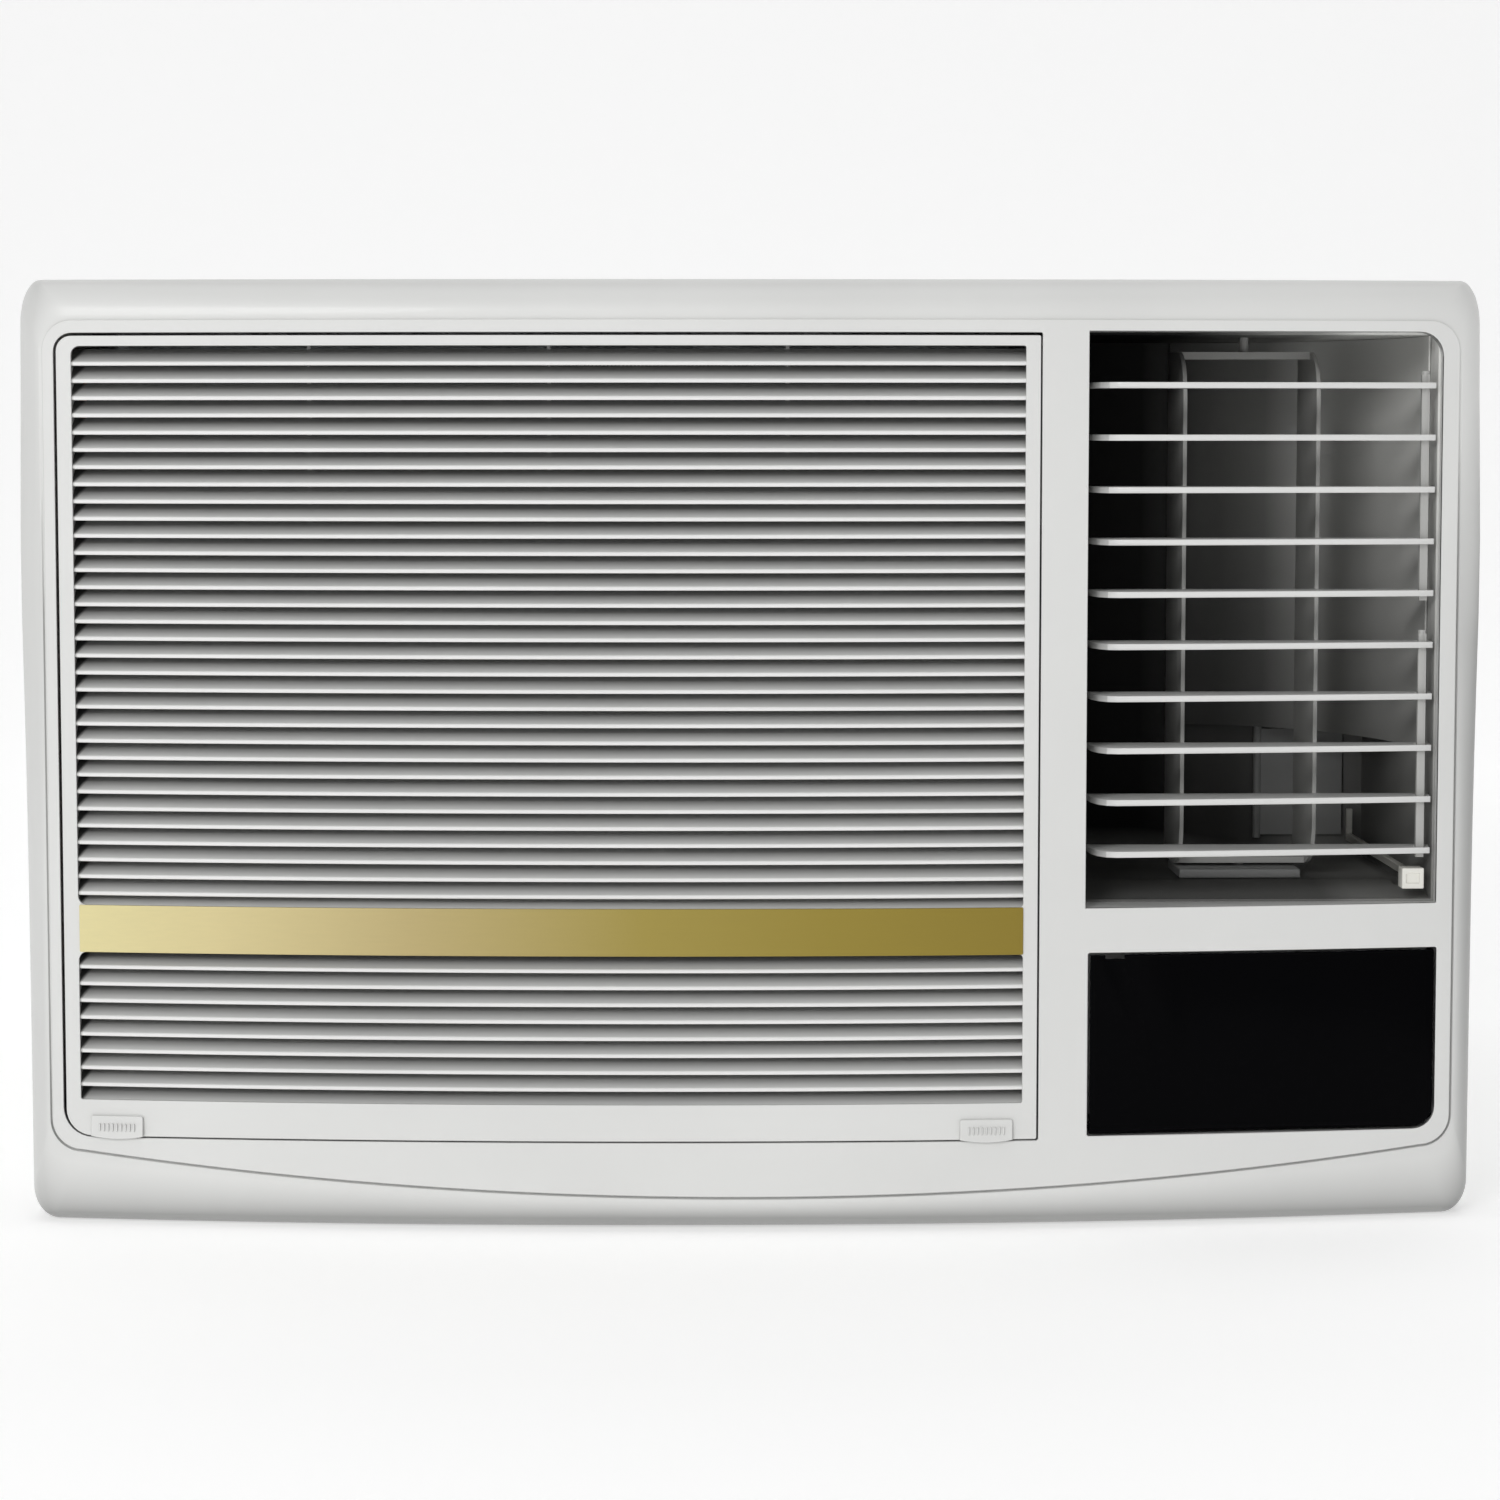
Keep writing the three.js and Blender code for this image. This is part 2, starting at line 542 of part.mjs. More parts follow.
// Flat geared stepper motor on the duct floor, with a blind socket for the vane's lower pin.
const swingMotor = () => {
  const axisY = FACE + VANE.behind;
  const floor = ductRect.z0 + 4.5 + GAP;
  const body = block(VANE.x - 31, VANE.x + 26, axisY - 22, axisY + 20, floor, VANE.z0 - 1.4);
  return body.subtract(cylinder("z", 2.2 + RUNNING, floor + 1.2, VANE.z0 + 1, VANE.x, axisY, 12));
};
add("swing_motor", "grey_plastic", swingMotor());

// Knob on a rod that runs along the duct floor to the vent flap.
const ventKnob = () => {
  const near = FACE + 25;
  const knob = block(297, 307, near, near + 10, 153, 162.4);
  const dimple = block(299, 305, near - 1, near + 0.8, 155.5, 160);
  const rod = block(302.5, 305.5, near + 9, FACE + DUCT_END - 7, 156, 159.6);
  const hook = block(302.5, 305.5, FACE + DUCT_END - 10, FACE + DUCT_END - 7, 156, 172);
  return join([knob, rod, hook]).subtract(dimple);
};
add("vent_knob", "cream_plastic", ventKnob());

const ventFlap = () => {
  const rear = FACE + DUCT_END - 1;
  const plate = block(VENT.x0 - 3, VENT.x1 - 1, rear - 2, rear, VENT.z0 - 2.5, VENT.z1 + 3);
  const barrel = cylinder("z", 2, VENT.z0 - 4, VENT.z1 + 5, VENT.x0 - 4, rear - 2, 12);
  return plate.add(barrel);
};
add("vent_flap", "grey_plastic", ventFlap());

// ---- Controls ----------------------------------------------------------------------------------

const doorHalf = (DOOR.x1 - DOOR.x0) / 2 - GROOVE;

const controlDoor = () => {
  const { x0, x1, z0, z1, corner, thick } = DOOR;
  const edge = solid(alongY(outline(...ofRect(DOOR, -GROOVE), [0, corner, 0, 0]), FACE - 5, FACE + 60));
  const plate = bowedSlab(x0, x1, 0.2, thick, z0, z1, 4);
  const stiffener = bowedSlab(x0, x1, 1, 6.4, z0, z0 + 9, 4);
  const toe = -DOOR_AXIS.above - 0.2;
  const underFront = [[-9, -9], [1, -9], [-3, toe], [-4.6, -2.3], [-5.4, -0.4], [-9, -0.4]];
  const bevel = placed(alongX(underFront, -90, 90), doorFrame);
  const heel = placed(alongX([[1.6, -9], [9, -9], [9, 6], [4.6, 0], [3.6, -2.4]], -90, 90), doorFrame);
  const notch = block(x0 + 8, x0 + 17, FACE - 5, FACE + 20, z1 - GROOVE - 1.6, z1 + 2);
  const body = cut(plate.add(stiffener).intersect(edge), [bevel, heel, notch]);
  const pins = doorPins(DOOR_AXIS.pin, 1.8);
  return join([body, ...pins]);
};
add("control_door", "black_gloss", controlDoor());

// Tray behind the door, with the display at its left and one row of keys.
const FASCIA = { near: 10, far: 12.5, z0: -6, z1: 83 };
const keyX = (i) => -10 + i * 17;
const KEY = { half: 5.6, z: 36, high: 3.6 };

const controlFascia = () => {
  const { near, far, z0, z1 } = FASCIA;
  const plate = placed(box(-doorHalf - 1, doorHalf + 1, near, far, z0 + 3, z1 - 3), doorFrame);
  const [half, high] = [KEY.half + 0.4, KEY.high + 0.4];
  const holes = Array.from({ length: BUTTONS }, (_, i) =>
    placed(box(keyX(i) - half, keyX(i) + half, 0, 30, KEY.z - high, KEY.z + high), doorFrame),
  );
  const window = placed(box(-66.4, -25.6, 0, 30, 25.6, 50.4), doorFrame);
  return cut(plate, [...holes, window]).intersect(
    solid(alongY(outline(...ofRect(DOOR, -GAP), [0, DOOR.corner, 0, 0]), FACE - 5, FACE + 60)),
  );
};
add("control_fascia", "white_plastic", controlFascia());
const displayPane = box(-66, -26, FASCIA.near - 0.4, FASCIA.far + 2, 26, 50);
add("display_window", "black_gloss", placed(displayPane, doorFrame));

const KEY_NAMES = ["button_power", "button_mode", "button_fan_speed", "button_warmer", "button_cooler"];
KEY_NAMES.forEach((name, i) => {
  const { half, z, high } = KEY;
  const cap = box(keyX(i) - half, keyX(i) + half, FASCIA.near - 2, FASCIA.far + 1, z - high, z + high);
  add(name, "cream_plastic", placed(cap, doorFrame));
});

const controlBox = () => {
  const { x0, x1, y0, y1, z0, z1 } = CONTROL_BOX;
  const outer = block(x0, x1, y0, y1, z0, z1);
  const hollow = block(x0 + SHEET, x1 - SHEET, y0 - 1, y1 - SHEET, z0 + SHEET, z1 - SHEET);
  return outer.subtract(hollow);
};
add("control_box", "zinc_sheet", controlBox());

const inverterBoard = () => {
  const board = block(172, 299, -215, -213, 24, 126);
  const parts = [
    cylinder("y", 11, -246, -214, 192, 100, 14),
    cylinder("y", 11, -246, -214, 220, 100, 14),
    block(242, 290, -240, -214, 84, 118),
    block(180, 214, -232, -214, 34, 66),
  ];
  const fins = Array.from({ length: 7 }, (_, i) => block(226 + i * 9, 229 + i * 9, -246, -214, 32, 72));
  return join([board, ...parts, ...fins, block(226, 283, -219, -214, 32, 72)]);
};
add("inverter_board", "circuit", inverterBoard());

// ---- Indoor side: coil and blower --------------------------------------------------------------

// Fin block with hairpin bends at both ends.
const coil = ({ x0, x1, y0, y1, z0, z1, bends }) => {
  const pitch = (z1 - z0) / bends;
  const y = (y0 + y1) / 2;
  const bend = (x, side, i) => {
    const z = z0 + (i + 0.5) * pitch;
    const reach = pitch / 4;
    const points = [
      [x - side * 3, y, z - reach],
      [x + side * 3, y, z - reach],
      [x + side * 10, y, z],
      [x + side * 3, y, z + reach],
      [x - side * 3, y, z + reach],
    ];
    return solid(bentTube(points, 4, 5, 6));
  };
  const all = [block(x0, x1, y0, y1, z0, z1)];
  for (let i = 0; i < bends; i++) {
    all.push(bend(x1, 1, i));
    if (i) all.push(bend(x0, -1, i - 0.5));
  }
  return join(all);
};
add("evaporator_coil", "fins", coil(EVAPORATOR));

const spiral = (inset) => {
  const shape = new THREE.Shape();
  const turns = 26;
  const sweep = (290 * Math.PI) / 180;
  const first = (20 * Math.PI) / 180;
  const { start, grow } = SCROLL;
  const end = ductRect.x0 - DUCT_WALL - GAP;
  shape.moveTo(FAN.z + (start + 4 - inset) * Math.sin(first), FAN.x + (start + 4 - inset) * Math.cos(first));
  for (let i = 1; i <= turns; i++) {
    const angle = first - (sweep * i) / turns;
    const r = start + (grow * i) / turns - inset;
    shape.lineTo(FAN.z + r * Math.sin(angle), FAN.x + r * Math.cos(angle));
  }
  const top = FAN.z + start + grow - inset;
  shape.lineTo(top, end + (inset ? 5 : 0));
  shape.lineTo(SCROLL.outletLow + inset - 4, end + (inset ? 5 : 0));
  shape.lineTo(SCROLL.outletLow + inset - 20, FAN.x + 120);
  return shape;
};

const blowerScroll = () => {
  const { y0, y1, wall } = SCROLL;
  const outer = solid(alongY(spiral(0), y0, y1));
  const inner = solid(alongY(spiral(wall), y0 + wall, y1 - wall));
  const inlet = cylinder("y", 82, y0 - 1, y0 + 5, FAN.x, FAN.z, 32);
  const rear = cylinder("y", 24, y1 - 5, y1 + 1, FAN.x, FAN.z, 24);
  return cut(outer, [inner, inlet, rear]);
};
add("blower_scroll", "grey_plastic", blowerScroll());

// Squirrel-cage wheel: a back disc with a hub, a front ring, and blades between them.
const blowerWheel = () => {
  const blades = 20;
  const [near, far] = [-219, -140];
  const disc = cylinder("y", 92, far - 2.5, far, FAN.x, FAN.z, 26);
  const ring = cylinder("y", 93, near, near + 4, FAN.x, FAN.z, 26).subtract(
    cylinder("y", 78, near - 1, near + 5, FAN.x, FAN.z, 26),
  );
  const vanes = Array.from({ length: blades }, (_, i) => {
    const vane = box(-0.9, 0.9, near + 1, far - 1, -6.5, 6.5);
    vane.rotateY(0.6).translate(0, 0, 84.5).rotateY((2 * Math.PI * i) / blades);
    return solid(vane.translate(FAN.x, 0, FAN.z));
  });
  const hub = cylinder("y", 16, far - 26, far, FAN.x, FAN.z, 20, 20);
  const bore = cylinder("y", SHAFT_RADIUS + 0.05, near, far + 1, FAN.x, FAN.z, 16);
  return join([disc, ring, hub, ...vanes]).subtract(bore);
};
add("blower_wheel", "black_plastic", blowerWheel());

const inletRing = () => {
  const y = SCROLL.y0 - GAP;
  const plate = block(-300, 118, y - SHEET, y, 42, 402);
  const lip = cylinder("y", 88, y - 8, y, FAN.x, FAN.z, 32, 80);
  return plate.add(lip).subtract(cylinder("y", 84, y - 9, y + 1, FAN.x, FAN.z, 32, 76));
};
add("inlet_ring", "zinc_sheet", inletRing());

// ---- Outdoor side ------------------------------------------------------------------------------

const pipeHoles = () => [
  block(236, 262, BULKHEAD_Y - 2, BULKHEAD_Y + 4, 372, 392),
  block(268, 284, BULKHEAD_Y - 2, BULKHEAD_Y + 4, 30, 46),
];
const bulkhead = () => {
  const sheet = block(-PAN.half + 3, PAN.half - 3, BULKHEAD_Y, BULKHEAD_Y + SHEET, PAN.z + SHEET + GAP, 418);
  const shaftHole = cylinder("y", 22, BULKHEAD_Y - 2, BULKHEAD_Y + 4, FAN.x, FAN.z, 24);
  const vent = block(VENT.x0, VENT.x1, BULKHEAD_Y - 2, BULKHEAD_Y + 4, VENT.z0, VENT.z1);
  const flange = block(-PAN.half + 3, PAN.half - 3, BULKHEAD_Y, BULKHEAD_Y + 12, 418 - SHEET, 418);
  return cut(sheet.add(flange), [shaftHole, vent, ...pipeHoles()]);
};
add("bulkhead", "zinc_sheet", bulkhead());

const fanMotor = () => {
  const { radius, y0, y1 } = MOTOR;
  const can = cylinder("y", radius, y0, y1, FAN.x, FAN.z, 22);
  const ends = cylinder("y", 20, y0 - 12, y1 + 14, FAN.x, FAN.z, 20);
  const rim = cylinder("y", radius + 4, y0 + 40, y0 + 48, FAN.x, FAN.z, 22);
  return join([can, ends, rim]).subtract(cylinder("y", SHAFT_RADIUS + 0.4, -110, 20, FAN.x, FAN.z, 16));
};
add("fan_motor", "black_paint", fanMotor());

const motorBracket = () => {
  const plate = block(FAN.x - 62, FAN.x + 62, -40, -37, PAN.z + SHEET + GAP, FAN.z + 10);
  const foot = block(FAN.x - 62, FAN.x + 62, -40, 0, PAN.z + SHEET + GAP, PAN.z + SHEET + GAP + 3);
  const seat = cylinder("y", MOTOR.radius + GAP, -60, 10, FAN.x, FAN.z, 22);
  return plate.add(foot).subtract(seat);
};
add("motor_bracket", "zinc_sheet", motorBracket());

add("fan_shaft", "steel", cylinder("y", SHAFT_RADIUS, -206, 236, FAN.x, FAN.z, 16));

// Axial fan with a slinger ring that throws condensate on the coil.
const condenserFan = () => {
  const blades = 5;
  const hub = cylinder("y", 34, 204, 236, FAN.x, FAN.z, 24);
  const ring = cylinder("y", 168, 214, 226, FAN.x, FAN.z, 30).subtract(
    cylinder("y", 164.5, 213, 227, FAN.x, FAN.z, 30),
  );
  const paddles = Array.from({ length: blades }, (_, i) => {
    const shape = new THREE.Shape();
    shape.moveTo(30, -16);
    shape.quadraticCurveTo(110, -52, 166, -46);
    shape.lineTo(166, 38);
    shape.quadraticCurveTo(110, 44, 30, 16);
    const paddle = new THREE.ExtrudeGeometry(shape, { depth: 2.4, curveSegments: 3, bevelEnabled: false });
    paddle.translate(0, 0, -1.2).rotateX(0.16).rotateX(Math.PI / 2).rotateY((2 * Math.PI * i) / blades);
    return solid(paddle.translate(FAN.x, 220, FAN.z));
  });
  const bore = cylinder("y", SHAFT_RADIUS + 0.05, 200, 240, FAN.x, FAN.z, 16);
  return join([hub, ring, ...paddles]).subtract(bore);
};
add("condenser_fan", "black_plastic", condenserFan());

const fanShroud = () => {
  const y = SHROUD_Y;
  const plate = block(-306, 306, y, y + SHEET, PAN.z + SHEET + GAP + 4, 414);
  const ring = cylinder("y", 176, 208, y + SHEET, FAN.x, FAN.z, 32);
  const hole = cylinder("y", 174, 200, y + 8, FAN.x, FAN.z, 32);
  const pipes = [384, 52].map((z) => block(276, 292, y - 2, y + 4, z - 8, z + 8));
  return cut(plate.add(ring), [hole, ...pipes]);
};
add("fan_shroud", "zinc_sheet", fanShroud());

add("condenser_coil", "fins", coil(CONDENSER));

const COMPRESSOR = { x: 214, y: 70, r: 57, z0: 40, z1: 262 };
const mountAngles = [0, 1, 2].map((i) => (i * 2 * Math.PI) / 3 + Math.PI / 2);
const mountSpot = (angle) => [COMPRESSOR.x + 70 * Math.cos(angle), COMPRESSOR.y + 70 * Math.sin(angle)];

const compressor = () => {
  const { x, y, r, z0, z1 } = COMPRESSOR;
  const profile = [
    [0, z0], [r - 18, z0], [r - 3, z0 + 12], [r, z0 + 26],
    [r, z1 - 30], [r - 6, z1 - 12], [r - 24, z1 - 2], [0, z1],
  ].map(([u, v]) => new THREE.Vector2(u, v));
  const can = new THREE.LatheGeometry(profile, 18).rotateX(Math.PI / 2).translate(x, y, 0);
  const feet = mountAngles.map((angle) => {
    const foot = box(0, 84, -13, 13, z0 - 4, z0 + 1).rotateZ(angle).translate(x, y, 0);
    const [mx, my] = mountSpot(angle);
    return solid(foot).subtract(cylinder("z", 7, z0 - 6, z0 + 4, mx, my, 12));
  });
  const terminal = cylinder("z", 16, z1 - 8, z1 + 10, x - 18, y, 14);
  return join([solid(can), ...feet, terminal]);
};
add("compressor", "black_paint", compressor());

mountAngles.forEach((angle, i) => {
  const [x, y] = mountSpot(angle);
  const floor = PAN.z + SHEET + GAP;
  const profile = [
    [0, floor], [12, floor], [12, floor + 8], [9, floor + 14], [12, floor + 20],
    [12, COMPRESSOR.z0 - 4 - GAP],
    [6.6, COMPRESSOR.z0 - 4 - GAP],
    [6.6, COMPRESSOR.z0 + 1 + GAP],
    [0, COMPRESSOR.z0 + 1 + GAP],
  ].map(([u, v]) => new THREE.Vector2(u, v));
  const mount = new THREE.LatheGeometry(profile, 10).rotateX(Math.PI / 2).translate(x, y, 0);
  add("compressor_mount_" + (i + 1), "rubber", solid(mount));
});

const ACCUMULATOR = { x: 272, y: 134, r: 20, z0: 96, z1: 236 };
const accumulator = () => {
  const { x, y, r, z0, z1 } = ACCUMULATOR;
  const profile = [[0, z0], [r - 8, z0], [r, z0 + 12], [r, z1 - 12], [r - 8, z1], [0, z1]].map(
    ([u, v]) => new THREE.Vector2(u, v),
  );
  const can = new THREE.LatheGeometry(profile, 14).rotateX(Math.PI / 2).translate(x, y, 0);
  return solid(can);
};
add("accumulator", "black_paint", accumulator());

// Copper pipes. Each stops just short of what it is brazed to.
const PIPE = 4;
add(
  "discharge_pipe",
  "copper",
  solid(
    bentTube(
      [
        [214, 88, 262 + GAP], [214, 92, 330], [225, 130, 372],
        [262, 190, 384], [282, 226, 384], [284, 275, 384],
      ],
      PIPE,
      16,
    ),
  ),
);
add(
  "suction_pipe",
  "copper",
  solid(
    bentTube(
      [
        [272, 134, 236 + GAP], [272, 132, 330], [262, 100, 372],
        [250, 20, 382], [249, BULKHEAD_Y + 1, 382], [249, -128, 382],
      ],
      PIPE + 2,
      16,
    ),
  ),
);
add(
  "liquid_pipe",
  "copper",
  solid(
    bentTube(
      [
        [284, 275, 52], [288, 230, 46], [302, 160, 34], [302, 40, 34],
        [296, -60, 36], [276, BULKHEAD_Y, 38], [276, -176, 38],
      ],
      PIPE - 1,
      16,
    ),
  ),
);

// Pan: floor, rim all round and a drain hole at the rear.
const basePan = () => {
  const { half, z, y0, y1, rim } = PAN;
  const outer = block(-half, half, y0, y1, z, z + rim);
  const hollow = block(-half + SHEET, half - SHEET, y0 + SHEET, y1 - SHEET, z + SHEET, z + rim + 1);
  const drain = cylinder("z", DRAIN.radius, z - 1, z + 3, DRAIN.x, DRAIN.y, 16);
  return cut(outer, [hollow, drain]);
};
add("base_pan", "zinc_sheet", basePan());
add(
  "drain_plug",
  "rubber",
  cylinder("z", DRAIN.radius - 0.4, PAN.z, PAN.z + SHEET + 3, DRAIN.x, DRAIN.y, 16).add(
    cylinder("z", DRAIN.radius + 3, PAN.z + SHEET + GAP, PAN.z + SHEET + 3, DRAIN.x, DRAIN.y, 16),
  ),
);

// ---- Outer case --------------------------------------------------------------------------------

const outerCase = () => {
  const { half, z0, z1, y0, y1 } = CASE;
  const sleeve = block(-half, half, y0, y1, z0, z1);
  const inside = block(-half + SHEET, half - SHEET, y0 - 1, y1 - SHEET, z0 + SHEET, z1 - SHEET);
  const rear = block(-half + 26, half - 26, y0, y1 + 1, z0 + 32, z1 - 24);
  const slots = [];
  const [slotWide, slotPitch, slotHigh] = [9, 26, 118];
  for (let i = 0; i < 8; i++)
    for (const row of [0, 1]) {
      const y = 60 + i * slotPitch;
      const z = 84 + row * 150;
      slots.push(block(-half - 1, half + 1, y, y + slotWide, z, z + slotHigh));
      const x = -190 + row * 220;
      slots.push(block(x, x + 160, y, y + slotWide, z1 - 5, z1 + 1));
    }
  const cordHole = cylinder("x", 9, half - 4, half + 2, INLET.y, INLET.z, 16);
  const { far, step } = JOGGLE;
  const lip = block(-half - 1, half + 1, y0 - 1, far, z0 - 1, z1 + 1).subtract(
    block(step - half, half - step, y0 - 2, far + 1, z0 + step, z1 - step),
  );
  return cut(sleeve, [inside, rear, cordHole, lip, ...slots]);
};
add("outer_case", "painted_sheet", outerCase());

// Rubber bush in the case wall, open for the supply cord.
const cordGrommet = () => {
  const wall = CASE.half;
  const flange = cylinder("x", 13, wall + GAP, wall + 3.2, INLET.y, INLET.z, 16);
  const neck = cylinder("x", 8.6, wall - 2.4, wall + 1, INLET.y, INLET.z, 16);
  return flange.add(neck).subtract(cylinder("x", INLET.bore, wall - 5, wall + 5, INLET.y, INLET.z, 16));
};
add("cord_grommet", "rubber", cordGrommet());

for (const [name, side] of [["runner_left", -1], ["runner_right", 1]]) {
  const x = side * RUNNER.x;
  const half = RUNNER.wide / 2;
  add(name, "zinc_sheet", block(x - half, x + half, CASE.y0 + 20, CASE.y1 - 6, 0, RUNNER.high - GAP));
}

export default object;
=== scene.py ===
"""Looks of the window air conditioner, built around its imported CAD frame. Metres, +Z up, front to -Y."""
import itertools
import json
import math

import bmesh
import bpy
from mathutils import Matrix, Vector


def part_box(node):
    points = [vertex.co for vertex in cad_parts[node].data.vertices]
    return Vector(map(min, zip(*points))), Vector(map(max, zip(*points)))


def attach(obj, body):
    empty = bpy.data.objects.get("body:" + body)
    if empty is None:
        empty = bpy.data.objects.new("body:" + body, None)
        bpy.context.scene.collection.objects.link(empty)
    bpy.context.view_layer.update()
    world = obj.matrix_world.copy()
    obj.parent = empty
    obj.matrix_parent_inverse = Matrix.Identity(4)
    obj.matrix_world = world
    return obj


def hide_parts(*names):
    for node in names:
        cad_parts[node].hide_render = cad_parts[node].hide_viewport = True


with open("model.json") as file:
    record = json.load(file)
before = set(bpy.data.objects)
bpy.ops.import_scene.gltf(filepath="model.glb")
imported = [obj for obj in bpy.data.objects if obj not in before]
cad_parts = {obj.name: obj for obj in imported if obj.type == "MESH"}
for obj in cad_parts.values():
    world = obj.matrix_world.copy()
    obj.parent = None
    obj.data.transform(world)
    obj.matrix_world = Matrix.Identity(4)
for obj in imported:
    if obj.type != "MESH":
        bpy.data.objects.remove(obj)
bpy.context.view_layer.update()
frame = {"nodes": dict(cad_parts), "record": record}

MM = 0.001

# ---- Sizes taken from the frame ----------------------------------------------------------------

panel_low, panel_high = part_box("front_panel")
grille_low, grille_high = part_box("intake_grille")
band_low, band_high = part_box("trim_band")
case_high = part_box("outer_case")[1]

FACE = panel_low.y  # the bowed face at the middle of the width
CROWN_RADIUS = 2109 * MM
HALF = panel_high.x
HEIGHT = panel_high.z
PANEL_REAR = panel_high.y

# Front layout, as in the CAD model
PLATFORM = dict(half=0.320, top=0.4115, low=0.0160, ends=0.0350, corner=0.0135, proud=0.0012)
GROOVE = 0.0013
GRILLE = dict(x0=grille_low.x, x1=grille_high.x, z0=grille_low.z, z1=0.4049)
WINDOW = dict(x0=-0.3067, x1=0.1214, z0=0.0582, z1=0.3998)
SLAT_PITCH = 0.007719
UPPER_SLATS = 32
LOWER_SLATS = 8
LOWER_FIRST_Z = 0.11915
OUTLET = dict(x0=0.1498, x1=0.3124, z0=0.1467, z1=0.4064, corner=0.011)
DOOR = dict(x0=0.1511, x1=0.3129, z0=0.0425, z1=0.1263, corner=0.010)
SKIN = 0.0028
FRAME_THICK = 0.0024  # the grille's frame
RIM_DEPTH = 0.015  # the grille's rims and ribs
RIBS = (-0.200, -0.092, 0.015)
LOUVRES = 10

# Coils as (low, high) corners, and the slots of the case
EVAPORATOR = ((-0.298, -0.292, 0.046), (0.116, -0.240, 0.398))
CONDENSER = ((-0.294, 0.276, 0.020), (0.292, 0.332, 0.410))
CASE_SLOT = dict(count=8, first=0.0645, pitch=0.026, wide=0.009, tall=0.118, long=0.160)


def crown(x):
    """How far the bowed face lies behind its middle, at x."""
    return x * x / (2 * CROWN_RADIUS)


# ---- Node materials ----------------------------------------------------------------------------


def new_material(name):
    material = bpy.data.materials.new(name)
    material.use_nodes = True
    nodes = material.node_tree.nodes
    return material, material.node_tree, nodes["Principled BSDF"]


def coordinates(tree, stretch=(1, 1, 1)):
    source = tree.nodes.new("ShaderNodeTexCoord")
    mapping = tree.nodes.new("ShaderNodeMapping")
    mapping.inputs["Scale"].default_value = stretch
    tree.links.new(source.outputs["Object"], mapping.inputs["Vector"])
    return mapping.outputs["Vector"]


def noise(tree, vector, scale, detail=4.0, roughness=0.5):
    node = tree.nodes.new("ShaderNodeTexNoise")
    node.inputs["Scale"].default_value = scale
    node.inputs["Detail"].default_value = detail
    node.inputs["Roughness"].default_value = roughness
    tree.links.new(vector, node.inputs["Vector"])
    return node.outputs["Fac"]


def ramp(tree, factor, stops):
    node = tree.nodes.new("ShaderNodeValToRGB")
    elements = node.color_ramp.elements
    while len(elements) < len(stops):
        elements.new(0.5)
    for element, (position, value) in zip(elements, stops):
        element.position = position
        element.color = (*value, 1) if isinstance(value, tuple) else (value, value, value, 1)
    tree.links.new(factor, node.inputs["Fac"])
    return node.outputs["Color"]


def bump(tree, shader, height, strength, distance):
    node = tree.nodes.new("ShaderNodeBump")
    node.inputs["Strength"].default_value = strength
    node.inputs["Distance"].default_value = distance
    tree.links.new(height, node.inputs["Height"])
    tree.links.new(node.outputs["Normal"], shader.inputs["Normal"])


def darken(tree, shader, factor):
    """Multiplies the shader's colour by a grey factor."""
    colour = shader.inputs["Base Color"].links[0].from_socket
    mix = tree.nodes.new("ShaderNodeMix")
    mix.data_type = "RGBA"
    mix.blend_type = "MULTIPLY"
    mix.inputs["Factor"].default_value = 1.0
    tree.links.new(colour, mix.inputs["A"])
    tree.links.new(factor, mix.inputs["B"])
    tree.links.new(mix.outputs["Result"], shader.inputs["Base Color"])


def maths(tree, operation, *values):
    """A maths node fed with sockets and numbers."""
    node = tree.nodes.new("ShaderNodeMath")
    node.operation = operation
    for socket, value in zip(node.inputs, values):
        if isinstance(value, (int, float)):
            socket.default_value = value
        else:
            tree.links.new(value, socket)
    return node.outputs[0]


def axes(tree, output="Object"):
    """The three components of a texture coordinate."""
    source = tree.nodes.new("ShaderNodeTexCoord")
    split = tree.nodes.new("ShaderNodeSeparateXYZ")
    tree.links.new(source.outputs[output], split.inputs["Vector"])
    return split.outputs["X"], split.outputs["Y"], split.outputs["Z"]


def plastic(name, colour, roughness=0.4, grain=0.25, variation=0.03, coat=0.0):
    """Moulded plastic: a faint cloudiness in the colour, fine grain in gloss and surface."""
    material, tree, shader = new_material(name)
    where = coordinates(tree)
    cloud = noise(tree, where, 9.0, 3.0)
    low = tuple(c * (1 - variation) for c in colour)
    high = tuple(min(1.0, c * (1 + variation * 0.5)) for c in colour)
    tree.links.new(ramp(tree, cloud, [(0.3, low), (0.7, high)]), shader.inputs["Base Color"])
    grains = noise(tree, where, 1400.0, 2.0)
    tree.links.new(
        ramp(tree, grains, [(0.2, roughness * 0.88), (0.8, min(1.0, roughness * 1.12))]),
        shader.inputs["Roughness"],
    )
    shader.inputs["Specular IOR Level"].default_value = 0.45
    shader.inputs["Coat Weight"].default_value = coat
    shader.inputs["Coat Roughness"].default_value = 0.08
    bump(tree, shader, grains, grain, 0.00006)
    return material


def metal(name, colour, roughness, brushed=(1, 1, 1), variation=0.08, scale=120.0):
    """Metal whose gloss and tone vary in streaks along the directions that brushed leaves short."""
    material, tree, shader = new_material(name)
    streaks = noise(tree, coordinates(tree, brushed), scale, 5.0, 0.6)
    low = tuple(c * (1 - variation) for c in colour)
    high = tuple(min(1.0, c * (1 + variation)) for c in colour)
    tree.links.new(ramp(tree, streaks, [(0.3, low), (0.7, high)]), shader.inputs["Base Color"])
    tree.links.new(
        ramp(tree, streaks, [(0.25, roughness * 0.8), (0.75, min(1.0, roughness * 1.25))]),
        shader.inputs["Roughness"],
    )
    shader.inputs["Metallic"].default_value = 1.0
    bump(tree, shader, streaks, 0.12, 0.00005)
    return material


